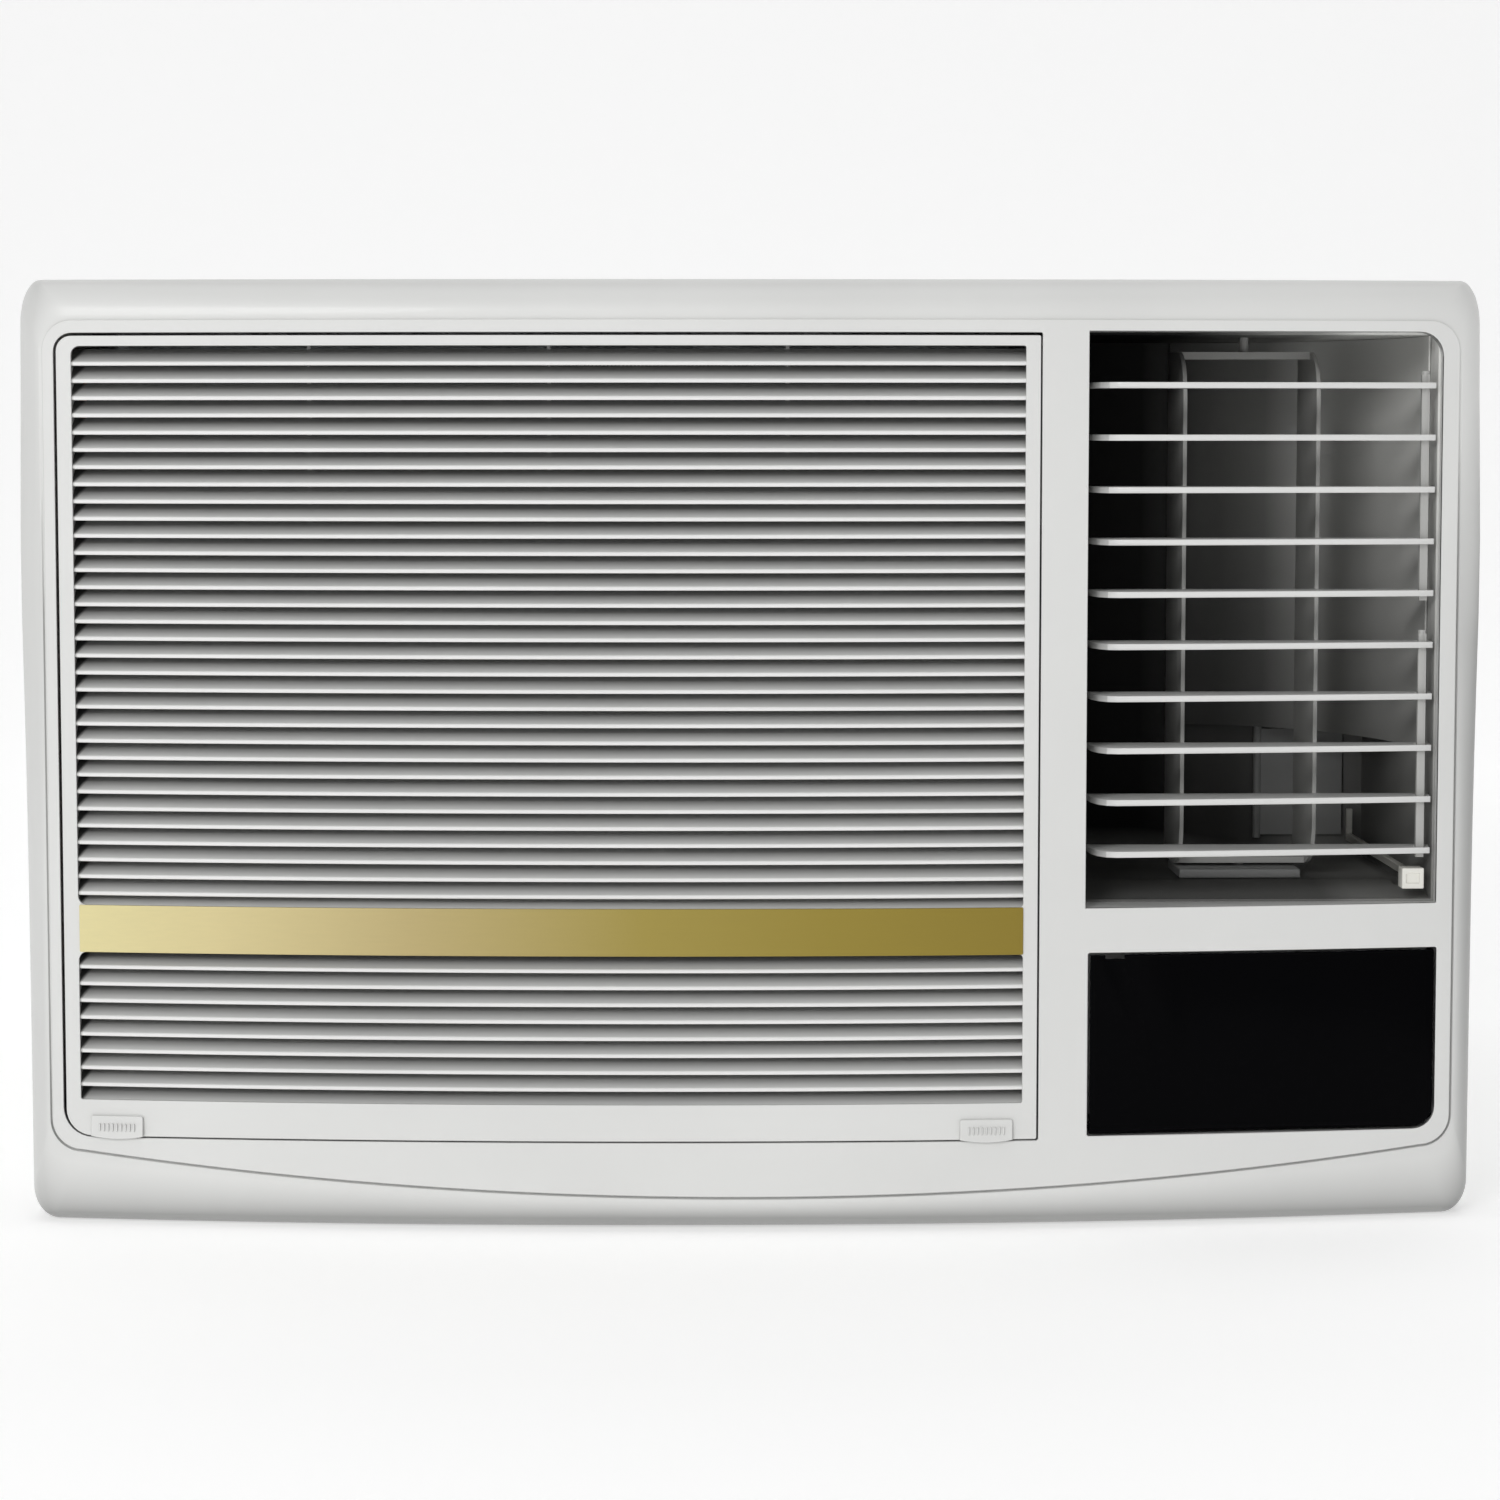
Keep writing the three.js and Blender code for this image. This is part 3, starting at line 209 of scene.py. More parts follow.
def galvanised(name):
    """Zinc sheet: large flat crystals that differ a little in tone and gloss."""
    material, tree, shader = new_material(name)
    where = coordinates(tree)
    cells = tree.nodes.new("ShaderNodeTexVoronoi")
    cells.inputs["Scale"].default_value = 85.0
    tree.links.new(where, cells.inputs["Vector"])
    tone = tree.nodes.new("ShaderNodeSeparateColor")
    tree.links.new(cells.outputs["Color"], tone.inputs["Color"])
    tree.links.new(
        ramp(tree, tone.outputs["Red"], [(0.0, (0.50, 0.52, 0.54)), (1.0, (0.66, 0.68, 0.70))]),
        shader.inputs["Base Color"],
    )
    tree.links.new(ramp(tree, tone.outputs["Green"], [(0.0, 0.34), (1.0, 0.52)]), shader.inputs["Roughness"])
    shader.inputs["Metallic"].default_value = 0.9
    return material


def powder_coat(name, colour):
    """Painted sheet with the fine orange peel of powder coat."""
    material, tree, shader = new_material(name)
    where = coordinates(tree)
    peel = noise(tree, where, 520.0, 3.0)
    cloud = noise(tree, where, 4.0, 3.0)
    low = tuple(c * 0.965 for c in colour)
    tree.links.new(ramp(tree, cloud, [(0.3, low), (0.7, colour)]), shader.inputs["Base Color"])
    tree.links.new(ramp(tree, peel, [(0.2, 0.40), (0.8, 0.54)]), shader.inputs["Roughness"])
    bump(tree, shader, peel, 0.35, 0.00012)
    return material


def gold_film_painted_reflection(name):
    """Brushed gold film with a painted reflection that runs from pale on the left to deep on the right."""
    material, tree, shader = new_material(name)
    x = axes(tree)[0]
    share = maths(tree, "DIVIDE", maths(tree, "SUBTRACT", x, band_low.x), band_high.x - band_low.x)
    # Painted reflection: the colour ramps along x from pale gold to deep gold.
    painted_reflection_tones = ramp(
        tree,
        share,
        [
            (0.00, (0.780, 0.700, 0.370)), (0.15, (0.700, 0.600, 0.310)), (0.35, (0.520, 0.420, 0.190)),
            (0.60, (0.375, 0.292, 0.062)), (0.80, (0.325, 0.245, 0.036)), (1.00, (0.285, 0.208, 0.024)),
        ],
    )
    tree.links.new(painted_reflection_tones, shader.inputs["Base Color"])
    streaks = noise(tree, coordinates(tree, (0.03, 1, 1)), 900.0, 4.0, 0.6)
    darken(tree, shader, ramp(tree, streaks, [(0.3, 0.965), (0.7, 1.0)]))
    tree.links.new(ramp(tree, streaks, [(0.25, 0.40), (0.75, 0.52)]), shader.inputs["Roughness"])
    shader.inputs["Metallic"].default_value = 0.35
    bump(tree, shader, streaks, 0.1, 0.00004)
    return material


def duct_painted_shade(name):
    """Grey moulding of the plenum in painted shade: darkest at its left, by the blower, lighter to the right
    and up.
    """
    material = plastic(name, (0.88, 0.88, 0.855), 0.6, grain=0.5)
    tree = material.node_tree
    shader = tree.nodes["Principled BSDF"]
    shader.inputs["Specular IOR Level"].default_value = 0.18
    place = tree.nodes.new("ShaderNodeNewGeometry")
    split = tree.nodes.new("ShaderNodeSeparateXYZ")
    tree.links.new(place.outputs["Position"], split.inputs["Vector"])
    x, z = split.outputs["X"], split.outputs["Z"]
    across = maths(tree, "DIVIDE", maths(tree, "SUBTRACT", x, OUTLET["x0"]), OUTLET["x1"] - OUTLET["x0"])
    up = maths(tree, "DIVIDE", maths(tree, "SUBTRACT", z, OUTLET["z0"]), OUTLET["z1"] - OUTLET["z0"])
    # Painted shade across and up the plenum, with a painted lighter strip along its floor.
    stops = [(0.05, 0.0004), (0.30, 0.012), (0.42, 0.12), (0.56, 0.36), (0.66, 0.44), (0.78, 1.0)]
    side = ramp(tree, across, stops)
    rise = ramp(tree, up, [(0.10, 0.33), (0.45, 0.58), (0.85, 1.0)])
    floor = maths(tree, "MULTIPLY", ramp(tree, up, [(0.02, 1.0), (0.06, 0.0)]), 0.20)
    darken(tree, shader, maths(tree, "MAXIMUM", maths(tree, "MULTIPLY", side, rise), floor))
    return material


def mesh_cloth(name):
    """Filter mesh: crossed threads with dark gaps between them."""
    material, tree, shader = new_material(name)
    where = coordinates(tree)
    sums = []
    for direction in ("X", "Z"):
        wave = tree.nodes.new("ShaderNodeTexWave")
        wave.bands_direction = direction
        wave.inputs["Scale"].default_value = 260.0
        tree.links.new(where, wave.inputs["Vector"])
        sums.append(wave.outputs["Fac"])
    most = maths(tree, "MAXIMUM", *sums)
    tree.links.new(
        ramp(tree, most, [(0.55, (0.012, 0.013, 0.014)), (0.85, (0.085, 0.09, 0.095))]),
        shader.inputs["Base Color"],
    )
    shader.inputs["Roughness"].default_value = 0.7
    bump(tree, shader, most, 0.5, 0.0002)
    return material


def slat_white_painted_shade(name):
    """The white plastic with painted shade deep between the slats and a painted shadow behind the left jamb.
    """
    # A lighter copy of the panel's white plastic, so that the slat lips read brighter: painted light.
    material = plastic(name, (0.880, 0.882, 0.868), 0.42)
    tree = material.node_tree
    shader = tree.nodes["Principled BSDF"]
    x, y = axes(tree)[:2]
    bend = maths(tree, "MULTIPLY", maths(tree, "MULTIPLY", x, x), 0.5 / CROWN_RADIUS)
    depth = maths(tree, "SUBTRACT", maths(tree, "SUBTRACT", y, FACE), bend)
    share = maths(tree, "DIVIDE", depth, 0.014)
    # Painted shade: the colour darkens with depth behind the bowed face.
    deep = ramp(
        tree,
        share,
        [(0.10, 1.0), (0.25, 0.82), (0.42, 0.60), (0.60, 0.45), (0.78, 0.37), (0.94, 0.31)],
    )
    # Painted shadow of the window's left jamb, reaching further in the deeper the slat lies.
    inside = maths(tree, "SUBTRACT", x, WINDOW["x0"])
    reach = maths(tree, "SUBTRACT", inside, maths(tree, "MULTIPLY", depth, 0.36))
    jamb = ramp(tree, maths(tree, "ADD", maths(tree, "DIVIDE", reach, 0.003), 0.5), [(0.2, 0.14), (0.8, 1.0)])
    darken(tree, shader, deep)
    darken(tree, shader, jamb)
    return material


def painted_facing_shade(material, strength):
    """Painted shade: greys the faces that look down, those that look right and, a little, those that look
    left.
    """
    tree = material.node_tree
    shader = tree.nodes["Principled BSDF"]
    x, _, z = axes(tree, "Normal")
    height = maths(tree, "DIVIDE", axes(tree)[2], HEIGHT)
    down = ramp(tree, maths(tree, "MULTIPLY", z, -1.0), [(0.06, 1.0), (0.66, 1.0 - strength)])
    # The painted shade on right-facing faces fades out towards the top.
    low = ramp(tree, height, [(0.10, 0.66), (0.62, 0.82), (0.90, 0.0)])
    right = ramp(tree, maths(tree, "MULTIPLY", x, low), [(0.06, 1.0), (0.7, 1.0 - strength)])
    left = ramp(tree, maths(tree, "MULTIPLY", x, -1.0), [(0.12, 1.0), (0.45, 1.0 - 0.22 * strength)])
    darken(tree, shader, down)
    darken(tree, shader, right)
    darken(tree, shader, left)
    return material


WHITE_COLOUR = (0.786, 0.789, 0.775)
# The white plastic with painted shade on its downward and sideways faces.
WHITE = painted_facing_shade(plastic("white_abs_painted_shade", WHITE_COLOUR, 0.40, coat=0.12), 0.55)
# Slat white with painted shade between the slats and a painted shadow by the left jamb.
SLAT_WHITE_PAINTED_SHADE = slat_white_painted_shade("slat_abs_painted_shade")
# A darker copy of the white plastic: painted shade for the link bars and the vane, which stand in shadow.
SHADED_WHITE = plastic("shaded_abs", (0.50, 0.50, 0.485), 0.45)
CREAM = plastic("cream_abs", (0.84, 0.83, 0.77), 0.45)
GREY = plastic("grey_plastic", (0.42, 0.425, 0.42), 0.55, grain=0.4)
DARK = plastic("black_plastic", (0.028, 0.028, 0.030), 0.5, grain=0.5)
DOOR_BLACK = plastic("smoked_black", (0.0018, 0.0018, 0.0022), 0.22, grain=0.02)
DOOR_BLACK.node_tree.nodes["Principled BSDF"].inputs["Specular IOR Level"].default_value = 0.02
GOLD = gold_film_painted_reflection("gold_film_painted_reflection")
# Grey plastic with painted shade, for the plenum.
DUCT_PAINTED_SHADE = duct_painted_shade("duct_painted_shade")
COPPER = metal("copper", (0.72, 0.36, 0.22), 0.28, (1, 1, 1), 0.16, 30.0)
STEEL = metal("ground_steel", (0.60, 0.60, 0.61), 0.3, (1, 0.05, 1), 0.08)
ZINC = galvanised("galvanised")
CASE_PAINT = powder_coat("case_paint", (0.74, 0.745, 0.725))
BLACK_PAINT = powder_coat("black_paint", (0.018, 0.018, 0.020))
RUBBER = plastic("rubber", (0.022, 0.022, 0.022), 0.8, grain=0.8, variation=0.2)
BOARD = plastic("solder_mask", (0.035, 0.16, 0.075), 0.42, variation=0.35)
MESH = mesh_cloth("filter_mesh")
FIN = metal("fin_foil", (0.78, 0.80, 0.82), 0.36, (1, 1, 0.1), 0.06, 90.0)

SLOT_OF = {
    SLAT_WHITE_PAINTED_SHADE: "white_plastic", SHADED_WHITE: "white_plastic", DUCT_PAINTED_SHADE: "grey_plastic",
    WHITE: "white_plastic", CREAM: "cream_plastic", GREY: "grey_plastic", DARK: "black_plastic",
    DOOR_BLACK: "black_gloss", GOLD: "gold", COPPER: "copper", STEEL: "steel", ZINC: "zinc_sheet",
    CASE_PAINT: "painted_sheet", BLACK_PAINT: "black_paint", RUBBER: "rubber", BOARD: "circuit",
    FIN: "fins", MESH: "filter_mesh",
}
MATERIAL_OF = {slot: material for material, slot in SLOT_OF.items()}  # the last of a slot's materials

# ---- Mesh helpers ------------------------------------------------------------------------------

SHARP = math.radians(32)


def finish_mesh(bm, name, material, body, replaces=(), sharp=SHARP, weighted=True):
    """Turns a bmesh into a piece: smooth faces with sharp edges marked, riding on a CAD body."""
    bmesh.ops.recalc_face_normals(bm, faces=bm.faces)
    for face in bm.faces:
        face.smooth = True
    for edge in bm.edges:
        if len(edge.link_faces) == 2 and edge.calc_face_angle(0) > sharp:
            edge.smooth = False
    mesh = bpy.data.meshes.new(name)
    bm.to_mesh(mesh)
    bm.free()
    piece = bpy.data.objects.new(name, mesh)
    bpy.context.scene.collection.objects.link(piece)
    mesh.materials.append(material)
    if weighted:
        modifier = piece.modifiers.new("normals", "WEIGHTED_NORMAL")
        modifier.keep_sharp = True
        modifier.weight = 60
    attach(piece, body)
    if replaces:
        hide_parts(*replaces)
    return piece


def bow(bm):
    """Moves every vertex back with the bow of the face."""
    for vertex in bm.verts:
        vertex.co.y += FACE + crown(vertex.co.x)


def slice_x(bm, x0, x1, steps):
    """Cuts the mesh at equal steps in x, so that it can be bowed."""
    for i in range(1, steps):
        x = x0 + (x1 - x0) * i / steps
        geometry = bm.verts[:] + bm.edges[:] + bm.faces[:]
        bmesh.ops.bisect_plane(bm, geom=geometry, dist=1e-7, plane_co=(x, 0, 0), plane_no=(1, 0, 0))


def arc(cx, cz, rx, rz, start, stop, count):
    return [
        (cx + rx * math.cos(a), cz + rz * math.sin(a))
        for a in (start + (stop - start) * i / count for i in range(count + 1))
    ]


def rounded(x0, x1, z0, z1, radii, count=8):
    """(x, z) outline, counter-clockwise, with a radius for each corner: low-left, low-right, high-right,
    high-left."""
    ll, lr, hr, hl = radii
    turn = math.pi / 2
    corners = [
        (x0 + ll, z0 + ll, ll, 2 * turn),
        (x1 - lr, z0 + lr, lr, 3 * turn),
        (x1 - hr, z1 - hr, hr, 0),
        (x0 + hl, z1 - hl, hl, turn),
    ]
    points = []
    for cx, cz, radius, start in corners:
        if radius > 1e-6:
            points += arc(cx, cz, radius, radius, start, start + turn, count)
        else:
            points.append((cx, cz))
    return points


def rect_of(r, grow=0.0):
    return r["x0"] - grow, r["x1"] + grow, r["z0"] - grow, r["z1"] + grow


def plate(outlines, near, far, edge=0.0004, steps=48):
    """A plate with holes as a bmesh, between two depths behind the face, its edges rounded by edge."""
    curve = bpy.data.curves.new("outline", "CURVE")
    curve.dimensions = "2D"
    curve.fill_mode = "BOTH"
    for points in outlines:
        spline = curve.splines.new("POLY")
        spline.points.add(len(points) - 1)
        for point, (x, z) in zip(spline.points, points):
            point.co = (x, z, 0, 1)
        spline.use_cyclic_u = True
    curve.extrude = (far - near) / 2 - edge
    curve.bevel_depth = edge
    curve.bevel_resolution = 2
    curve.offset = -edge
    holder = bpy.data.objects.new("outline", curve)
    bpy.context.scene.collection.objects.link(holder)
    mesh = bpy.data.meshes.new_from_object(holder.evaluated_get(bpy.context.evaluated_depsgraph_get()))
    bpy.data.objects.remove(holder)
    bm = bmesh.new()
    bm.from_mesh(mesh)
    bpy.data.meshes.remove(mesh)
    bmesh.ops.remove_doubles(bm, verts=bm.verts, dist=1e-7)
    middle = (near + far) / 2
    for vertex in bm.verts:
        x, z, lift = vertex.co
        vertex.co = (x, middle - lift, z)
    xs = [v.co.x for v in bm.verts]
    slice_x(bm, min(xs), max(xs), steps)
    bow(bm)
    return bm


def loft(loops, cap_first=False, cap_last=False):
    """Closed rings of equal length joined into a bmesh skin."""
    bm = bmesh.new()
    rings = [[bm.verts.new(p) for p in loop] for loop in loops]
    count = len(rings[0])
    for low, high in zip(rings, rings[1:]):
        for i in range(count):
            j = (i + 1) % count
            bm.faces.new((low[i], low[j], high[j], high[i]))
    if cap_first:
        bm.faces.new(rings[0][::-1])
    if cap_last:
        bm.faces.new(rings[-1])
    return bm


def sweep_x(section, x0, x1, steps):
    """A (y, z) section carried along X, following the bow of the face."""
    loops = []
    for i in range(steps + 1):
        x = x0 + (x1 - x0) * i / steps
        back = FACE + crown(x)
        loops.append([(x, y + back, z) for y, z in section])
    return loft(loops, True, True)


def merge(target, source):
    """Adds one bmesh to another and frees the source."""
    mesh = bpy.data.meshes.new("part")
    source.to_mesh(mesh)
    source.free()
    target.from_mesh(mesh)
    bpy.data.meshes.remove(mesh)


# ---- Front panel -------------------------------------------------------------------------------

EDGE_POINTS = 40
SIDE_POINTS = 12
CORNER_POINTS = 12


def spaced(a, b, count):
    return [a + (b - a) * i / count for i in range(1, count)]


def panel_ring(half, top, top_corner, low_corner, low_of):
    """(x, z) ring with the same points at every size. Each corner is a quarter of an ellipse, given as its
    reach in x and in z, and low_of gives the height of the bottom edge at x."""
    turn = math.pi / 2
    (tx, tz), (bx, bz) = top_corner, low_corner
    left, right = bx - half, half - bx
    z_left, z_right = low_of(left), low_of(right)
    ring = arc(left, z_left + bz, bx, bz, 2 * turn, 3 * turn, CORNER_POINTS)
    ring += [(x, low_of(x)) for x in spaced(left, right, EDGE_POINTS)]
    ring += arc(right, z_right + bz, bx, bz, 3 * turn, 4 * turn, CORNER_POINTS)
    z0, z1 = z_right + bz, top - tz
    ring += [(half, z) for z in spaced(z0, z1, SIDE_POINTS)]
    ring += arc(half - tx, top - tz, tx, tz, 0, turn, CORNER_POINTS)
    ring += [(x, top) for x in spaced(half - tx, tx - half, EDGE_POINTS)]
    ring += arc(tx - half, top - tz, tx, tz, turn, 2 * turn, CORNER_POINTS)
    ring += [(-half, z) for z in spaced(z1, z0, SIDE_POINTS)]
    return ring


def platform_low(x):
    """Bottom edge of the raised platform: a shallow arc, lowest in the middle."""
    reach = PLATFORM["half"] - PLATFORM["corner"]
    return PLATFORM["low"] + (PLATFORM["ends"] - PLATFORM["low"]) * (x / reach) ** 2


def platform_ring(grow=0.0):
    corner = (PLATFORM["corner"] + grow, PLATFORM["corner"] + grow)
    return panel_ring(
        PLATFORM["half"] + grow, PLATFORM["top"] + grow, corner, corner, lambda x: platform_low(x) - grow
    )


def build_bezel():
    """The sloping frame round the platform: rings from the step at the platform's edge, over the rounded
    outline, to the rear edge and back inside."""
    step_wall = 0.0026
    groove_wide = 0.0013
    inner = platform_ring(-0.0006)
    foot = platform_ring(groove_wide)
    swell = 0.0018  # the outline stands out a little further than the CAD form at both sides
    outer = panel_ring(HALF + swell, HEIGHT, (0.0095, 0.0190), (0.0115, 0.0145), lambda x: 0.0)
    base = PLATFORM["proud"]
    top_drop, low_drop, side_drop = 0.0205, 0.0175, 0.0042
    steps = 20

    def fall(share, p, q):
        """How far back the slope lies at a share of its width, from the platform (p) to the outline (q)."""
        across, up = abs(q[0] - p[0]), q[1] - p[1]
        size = math.hypot(across, up) or 1.0
        drop = top_drop if up > 0 else low_drop
        upright = (up / size) ** 2
        curve = 1 - math.sqrt(max(0.0, 1 - share**2.2))
        flat = 0.72 * share + 0.28 * (1 - math.sqrt(max(0.0, 1 - share**4)))
        return drop * curve * upright + side_drop * flat * (1 - upright)

    def groove_depth(x, z):
        """The line at the platform's foot is deep below and on the right, and fades out on the top."""
        up = min(1.0, max(0.0, (z - 0.30) / 0.10))
        side = 0.55 if x < -PLATFORM["half"] + 0.01 and z > 0.06 else 1.0
        return base + (step_wall - base) * side * (1 - up)

    loops = [[(x, FACE + crown(x) + groove_depth(x, z), z) for x, z in inner]]
    loops.append([(x, FACE + crown(x) + groove_depth(x, z), z) for x, z in platform_ring(0.0006)])
    for i in range(steps + 1):
        share = math.sin(i / steps * math.pi / 2)
        ring = []
        for p, q in zip(foot, outer):
            x = p[0] + (q[0] - p[0]) * share
            z = p[1] + (q[1] - p[1]) * share
            ring.append((x, FACE + crown(x) + base + fall(share, p, q), z))
        loops.append(ring)
    rim = loops[-1]
    roll = 0.0016
    for i in range(1, 5):
        angle = i / 4 * math.pi / 2
        loops.append([(x, y + roll * math.sin(angle), z) for x, y, z in rim])
    loops.append([(x, PANEL_REAR, z) for x, _, z in rim])
    wall = panel_ring(HALF - SKIN, HEIGHT - SKIN, (0.0065, 0.0155), (0.009, 0.012), lambda x: SKIN)
    loops.append([(x, PANEL_REAR, z) for x, z in wall])
    loops.append([(x, FACE + crown(HALF) + 0.012, z) for x, z in wall])
    return loft(loops)


def opening(rect, radii):
    return rounded(*rect_of(rect), radii)


def collar(rect, radii, wall, near, far):
    """Wall round an opening, from just behind the face back to a flat rear edge."""
    inner = rounded(*rect_of(rect), [max(r, 0.0004) for r in radii], 8)
    outer = rounded(*rect_of(rect, wall), [max(r, 0.0004) + wall for r in radii], 8)
    rings = []
    for ring, depth in ((inner, near), (inner, None), (outer, None), (outer, near), (inner, near)):
        rings.append([(x, FACE + (far if depth is None else crown(x) + depth), z) for x, z in ring])
    return loft(rings)


def build_front_panel():
    clear = dict(
        x0=GRILLE["x0"] - GROOVE, x1=GRILLE["x1"] + 0.0008, z0=GRILLE["z0"] - 0.0006, z1=GRILLE["z1"] + 0.0008
    )
    grille_hole = opening(clear, [0.0135, 0.001, 0.001, 0.0085])
    outlet_hole = opening(OUTLET, [0, 0, OUTLET["corner"], 0])
    door_hole = opening(DOOR, [0.001, DOOR["corner"], 0.001, 0.001])
    face = plate([platform_ring(), grille_hole, outlet_hole, door_hole], 0, SKIN, 0.00035, 64)
    finish_mesh(face, "panel_platform", WHITE, "chassis", ["front_panel"])
    finish_mesh(build_bezel(), "panel_bezel", WHITE, "chassis", ["front_panel"], math.radians(50))
    walls = collar(OUTLET, [0, 0, OUTLET["corner"], 0], 0.002, 0.0006, 0.030)
    merge(walls, collar(DOOR, [0.001, DOOR["corner"], 0.001, 0.001], 0.003, 0.0006, 0.036))
    finish_mesh(walls, "panel_collars", WHITE, "chassis", ["front_panel"])


# ---- Intake grille -----------------------------------------------------------------------------


def slat_section(z):
    """Rounded front lip with a thin blade that rises behind it."""
    lip, back, rise = 0.0010, 0.0130, 0.0061
    front = arc(0.0016, z, 0.0010, lip, math.pi / 2, math.pi * 1.5, 8)
    return [
        *front,
        (0.0030, z - 0.0002),
        (back, z + rise - 0.0008),
        (back, z + rise + 0.0004),
        (0.0030, z + 0.0016),
    ]


def build_grille():
    edge = dict(GRILLE, z1=GRILLE["z1"] - 0.0004)
    plates = [
        opening(edge, [0.012, 0.0008, 0.0008, 0.007]),
        rounded(WINDOW["x0"], WINDOW["x1"], band_high.z, WINDOW["z1"], [0.004, 0.002, 0.001, 0.004]),
        rounded(WINDOW["x0"], WINDOW["x1"], WINDOW["z0"], band_low.z, [0.001, 0.001, 0.002, 0.004]),
    ]
    frame_bm = plate(plates, 0, FRAME_THICK, 0.0003, 48)
    for vertex in frame_bm.verts:  # the top edge is bevelled behind, so that it swings out past the panel
        depth = vertex.co.y - FACE - crown(vertex.co.x)
        vertex.co.z = min(vertex.co.z, edge["z1"] - 1.5 * max(0.0, depth - 0.0002))
    # Inner rims stiffen the frame behind its face.
    for x0, x1 in ((GRILLE["x0"], WINDOW["x0"]), (WINDOW["x1"], GRILLE["x1"])):
        rim = rounded(x0 + 0.001, x1 - 0.0005, GRILLE["z0"] + 0.014, GRILLE["z1"] - 0.014, [0.0005] * 4, 2)
        merge(frame_bm, plate([rim], 0.002, RIM_DEPTH, 0.0003, 2))
    z0 = GRILLE["z0"] + 0.001
    low = rounded(GRILLE["x0"] + 0.013, GRILLE["x1"] - 0.001, z0, z0 + 0.002, [0.0005] * 4, 2)
    merge(frame_bm, plate([low], 0.002, RIM_DEPTH, 0.0003, 32))
    finish_mesh(frame_bm, "grille_frame", WHITE, "grille", ["intake_grille"])

    slats = bmesh.new()
    heights = [WINDOW["z1"] - k * SLAT_PITCH for k in range(1, UPPER_SLATS + 1)]
    heights += [LOWER_FIRST_Z - k * SLAT_PITCH for k in range(LOWER_SLATS)]
    # The gap above the band and the one above the window's lower edge end in a blade too, behind the frame.
    heights += [band_high.z - 0.0012, WINDOW["z0"] - 0.0012]
    for z in heights:
        merge(slats, sweep_x(slat_section(z), WINDOW["x0"] - 0.0008, WINDOW["x1"] + 0.0008, 32))
    finish_mesh(slats, "grille_slats", SLAT_WHITE_PAINTED_SHADE, "grille", ["intake_grille"], math.radians(50), False)

    ribs = bmesh.new()
    for x in RIBS:
        rib = rounded(x - 0.0009, x + 0.0009, WINDOW["z0"] - 0.004, WINDOW["z1"] + 0.002, [0.0003] * 4, 2)
        merge(ribs, plate([rib], RIM_DEPTH - 0.0024, RIM_DEPTH, 0.0003, 2))
    finish_mesh(ribs, "grille_ribs", SLAT_WHITE_PAINTED_SHADE, "grille", ["intake_grille"])


def build_band():
    outline = rounded(band_low.x, band_high.x, band_low.z, band_high.z, [0.0006] * 4, 4)
    finish_mesh(plate([outline], -0.0008, 0.0006, 0.0003, 48), "gold_band", GOLD, "grille", ["trim_band"])


def build_pull_tab(node):
    """Raised tab with a bowed lower edge and generic grip ribs."""
    low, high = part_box(node)
    x0, x1 = low.x, high.x
    middle, half = (x0 + x1) / 2, (x1 - x0) / 2
    top, base = high.z, low.z + 0.0012
    across = [i / 6 - 1 for i in range(13)]
    under = [(middle + half * u, base - 0.0012 * (1 - u * u)) for u in across]
    outline = [*under, (x1, top - 0.0006), (x1 - 0.0006, top), (x0 + 0.0006, top), (x0, top - 0.0006)]
    tab = plate([outline], -0.0014, -0.0002, 0.0004, 8)
    for vertex in tab.verts:  # the tab leans out towards its lower edge
        share = (top - vertex.co.z) / (top - base)
        if vertex.co.y < FACE + crown(vertex.co.x) - 0.0008:
            vertex.co.y -= 0.0010 * max(0.0, share) ** 1.5
    count = 9
    for i in range(count):
        x = middle - half * 0.66 + 2 * half * 0.66 * i / (count - 1)
        rib = rounded(x - 0.00035, x + 0.00035, base + 0.0024, top - 0.0034, [0.0003] * 4, 3)
        bar = plate([rib], -0.0027, -0.0010, 0.0002, 1)
        merge(tab, bar)
    finish_mesh(tab, "grip_" + node, WHITE, "grille", [node])


build_front_panel()
build_grille()
build_band()
build_pull_tab("pull_tab_left")
build_pull_tab("pull_tab_right")

# ---- Pieces rebuilt from their CAD form with rounded edges --------------------------------------

slot_of_node = {s["node"]: s["material_slot"] for s in frame["record"]["subparts"]}
body_of_node = {
    node: body for body, nodes in frame["record"]["behaviour"]["bodies"].items() for node in nodes
}


def softened(node, width, segments=3, material=None, angle=28, join=True):
    """The node's form as a new piece whose flat faces are joined and whose edges are rounded."""
    source = frame["nodes"][node]
    bm = bmesh.new()
    bm.from_mesh(source.data)
    bmesh.ops.transform(bm, matrix=source.matrix_world, verts=bm.verts)
    bmesh.ops.remove_doubles(bm, verts=bm.verts, dist=2e-6)
    if join:
        bmesh.ops.dissolve_limit(bm, angle_limit=math.radians(0.4), verts=bm.verts, edges=bm.edges)
    bmesh.ops.recalc_face_normals(bm, faces=bm.faces)
    for face in bm.faces:
        face.smooth = True
    mesh = bpy.data.meshes.new(node)
    bm.to_mesh(mesh)
    bm.free()
    piece = bpy.data.objects.new(node + "_soft", mesh)
    bpy.context.scene.collection.objects.link(piece)
    chosen = material or MATERIAL_OF[slot_of_node[node]]
    mesh.materials.append(chosen)
    bevel = piece.modifiers.new("rounding", "BEVEL")
    bevel.width = width
    bevel.segments = segments
    bevel.limit_method = "ANGLE"
    bevel.angle_limit = math.radians(angle)
    bevel.use_clamp_overlap = True
    bevel.harden_normals = True
    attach(piece, body_of_node[node])
    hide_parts(node)


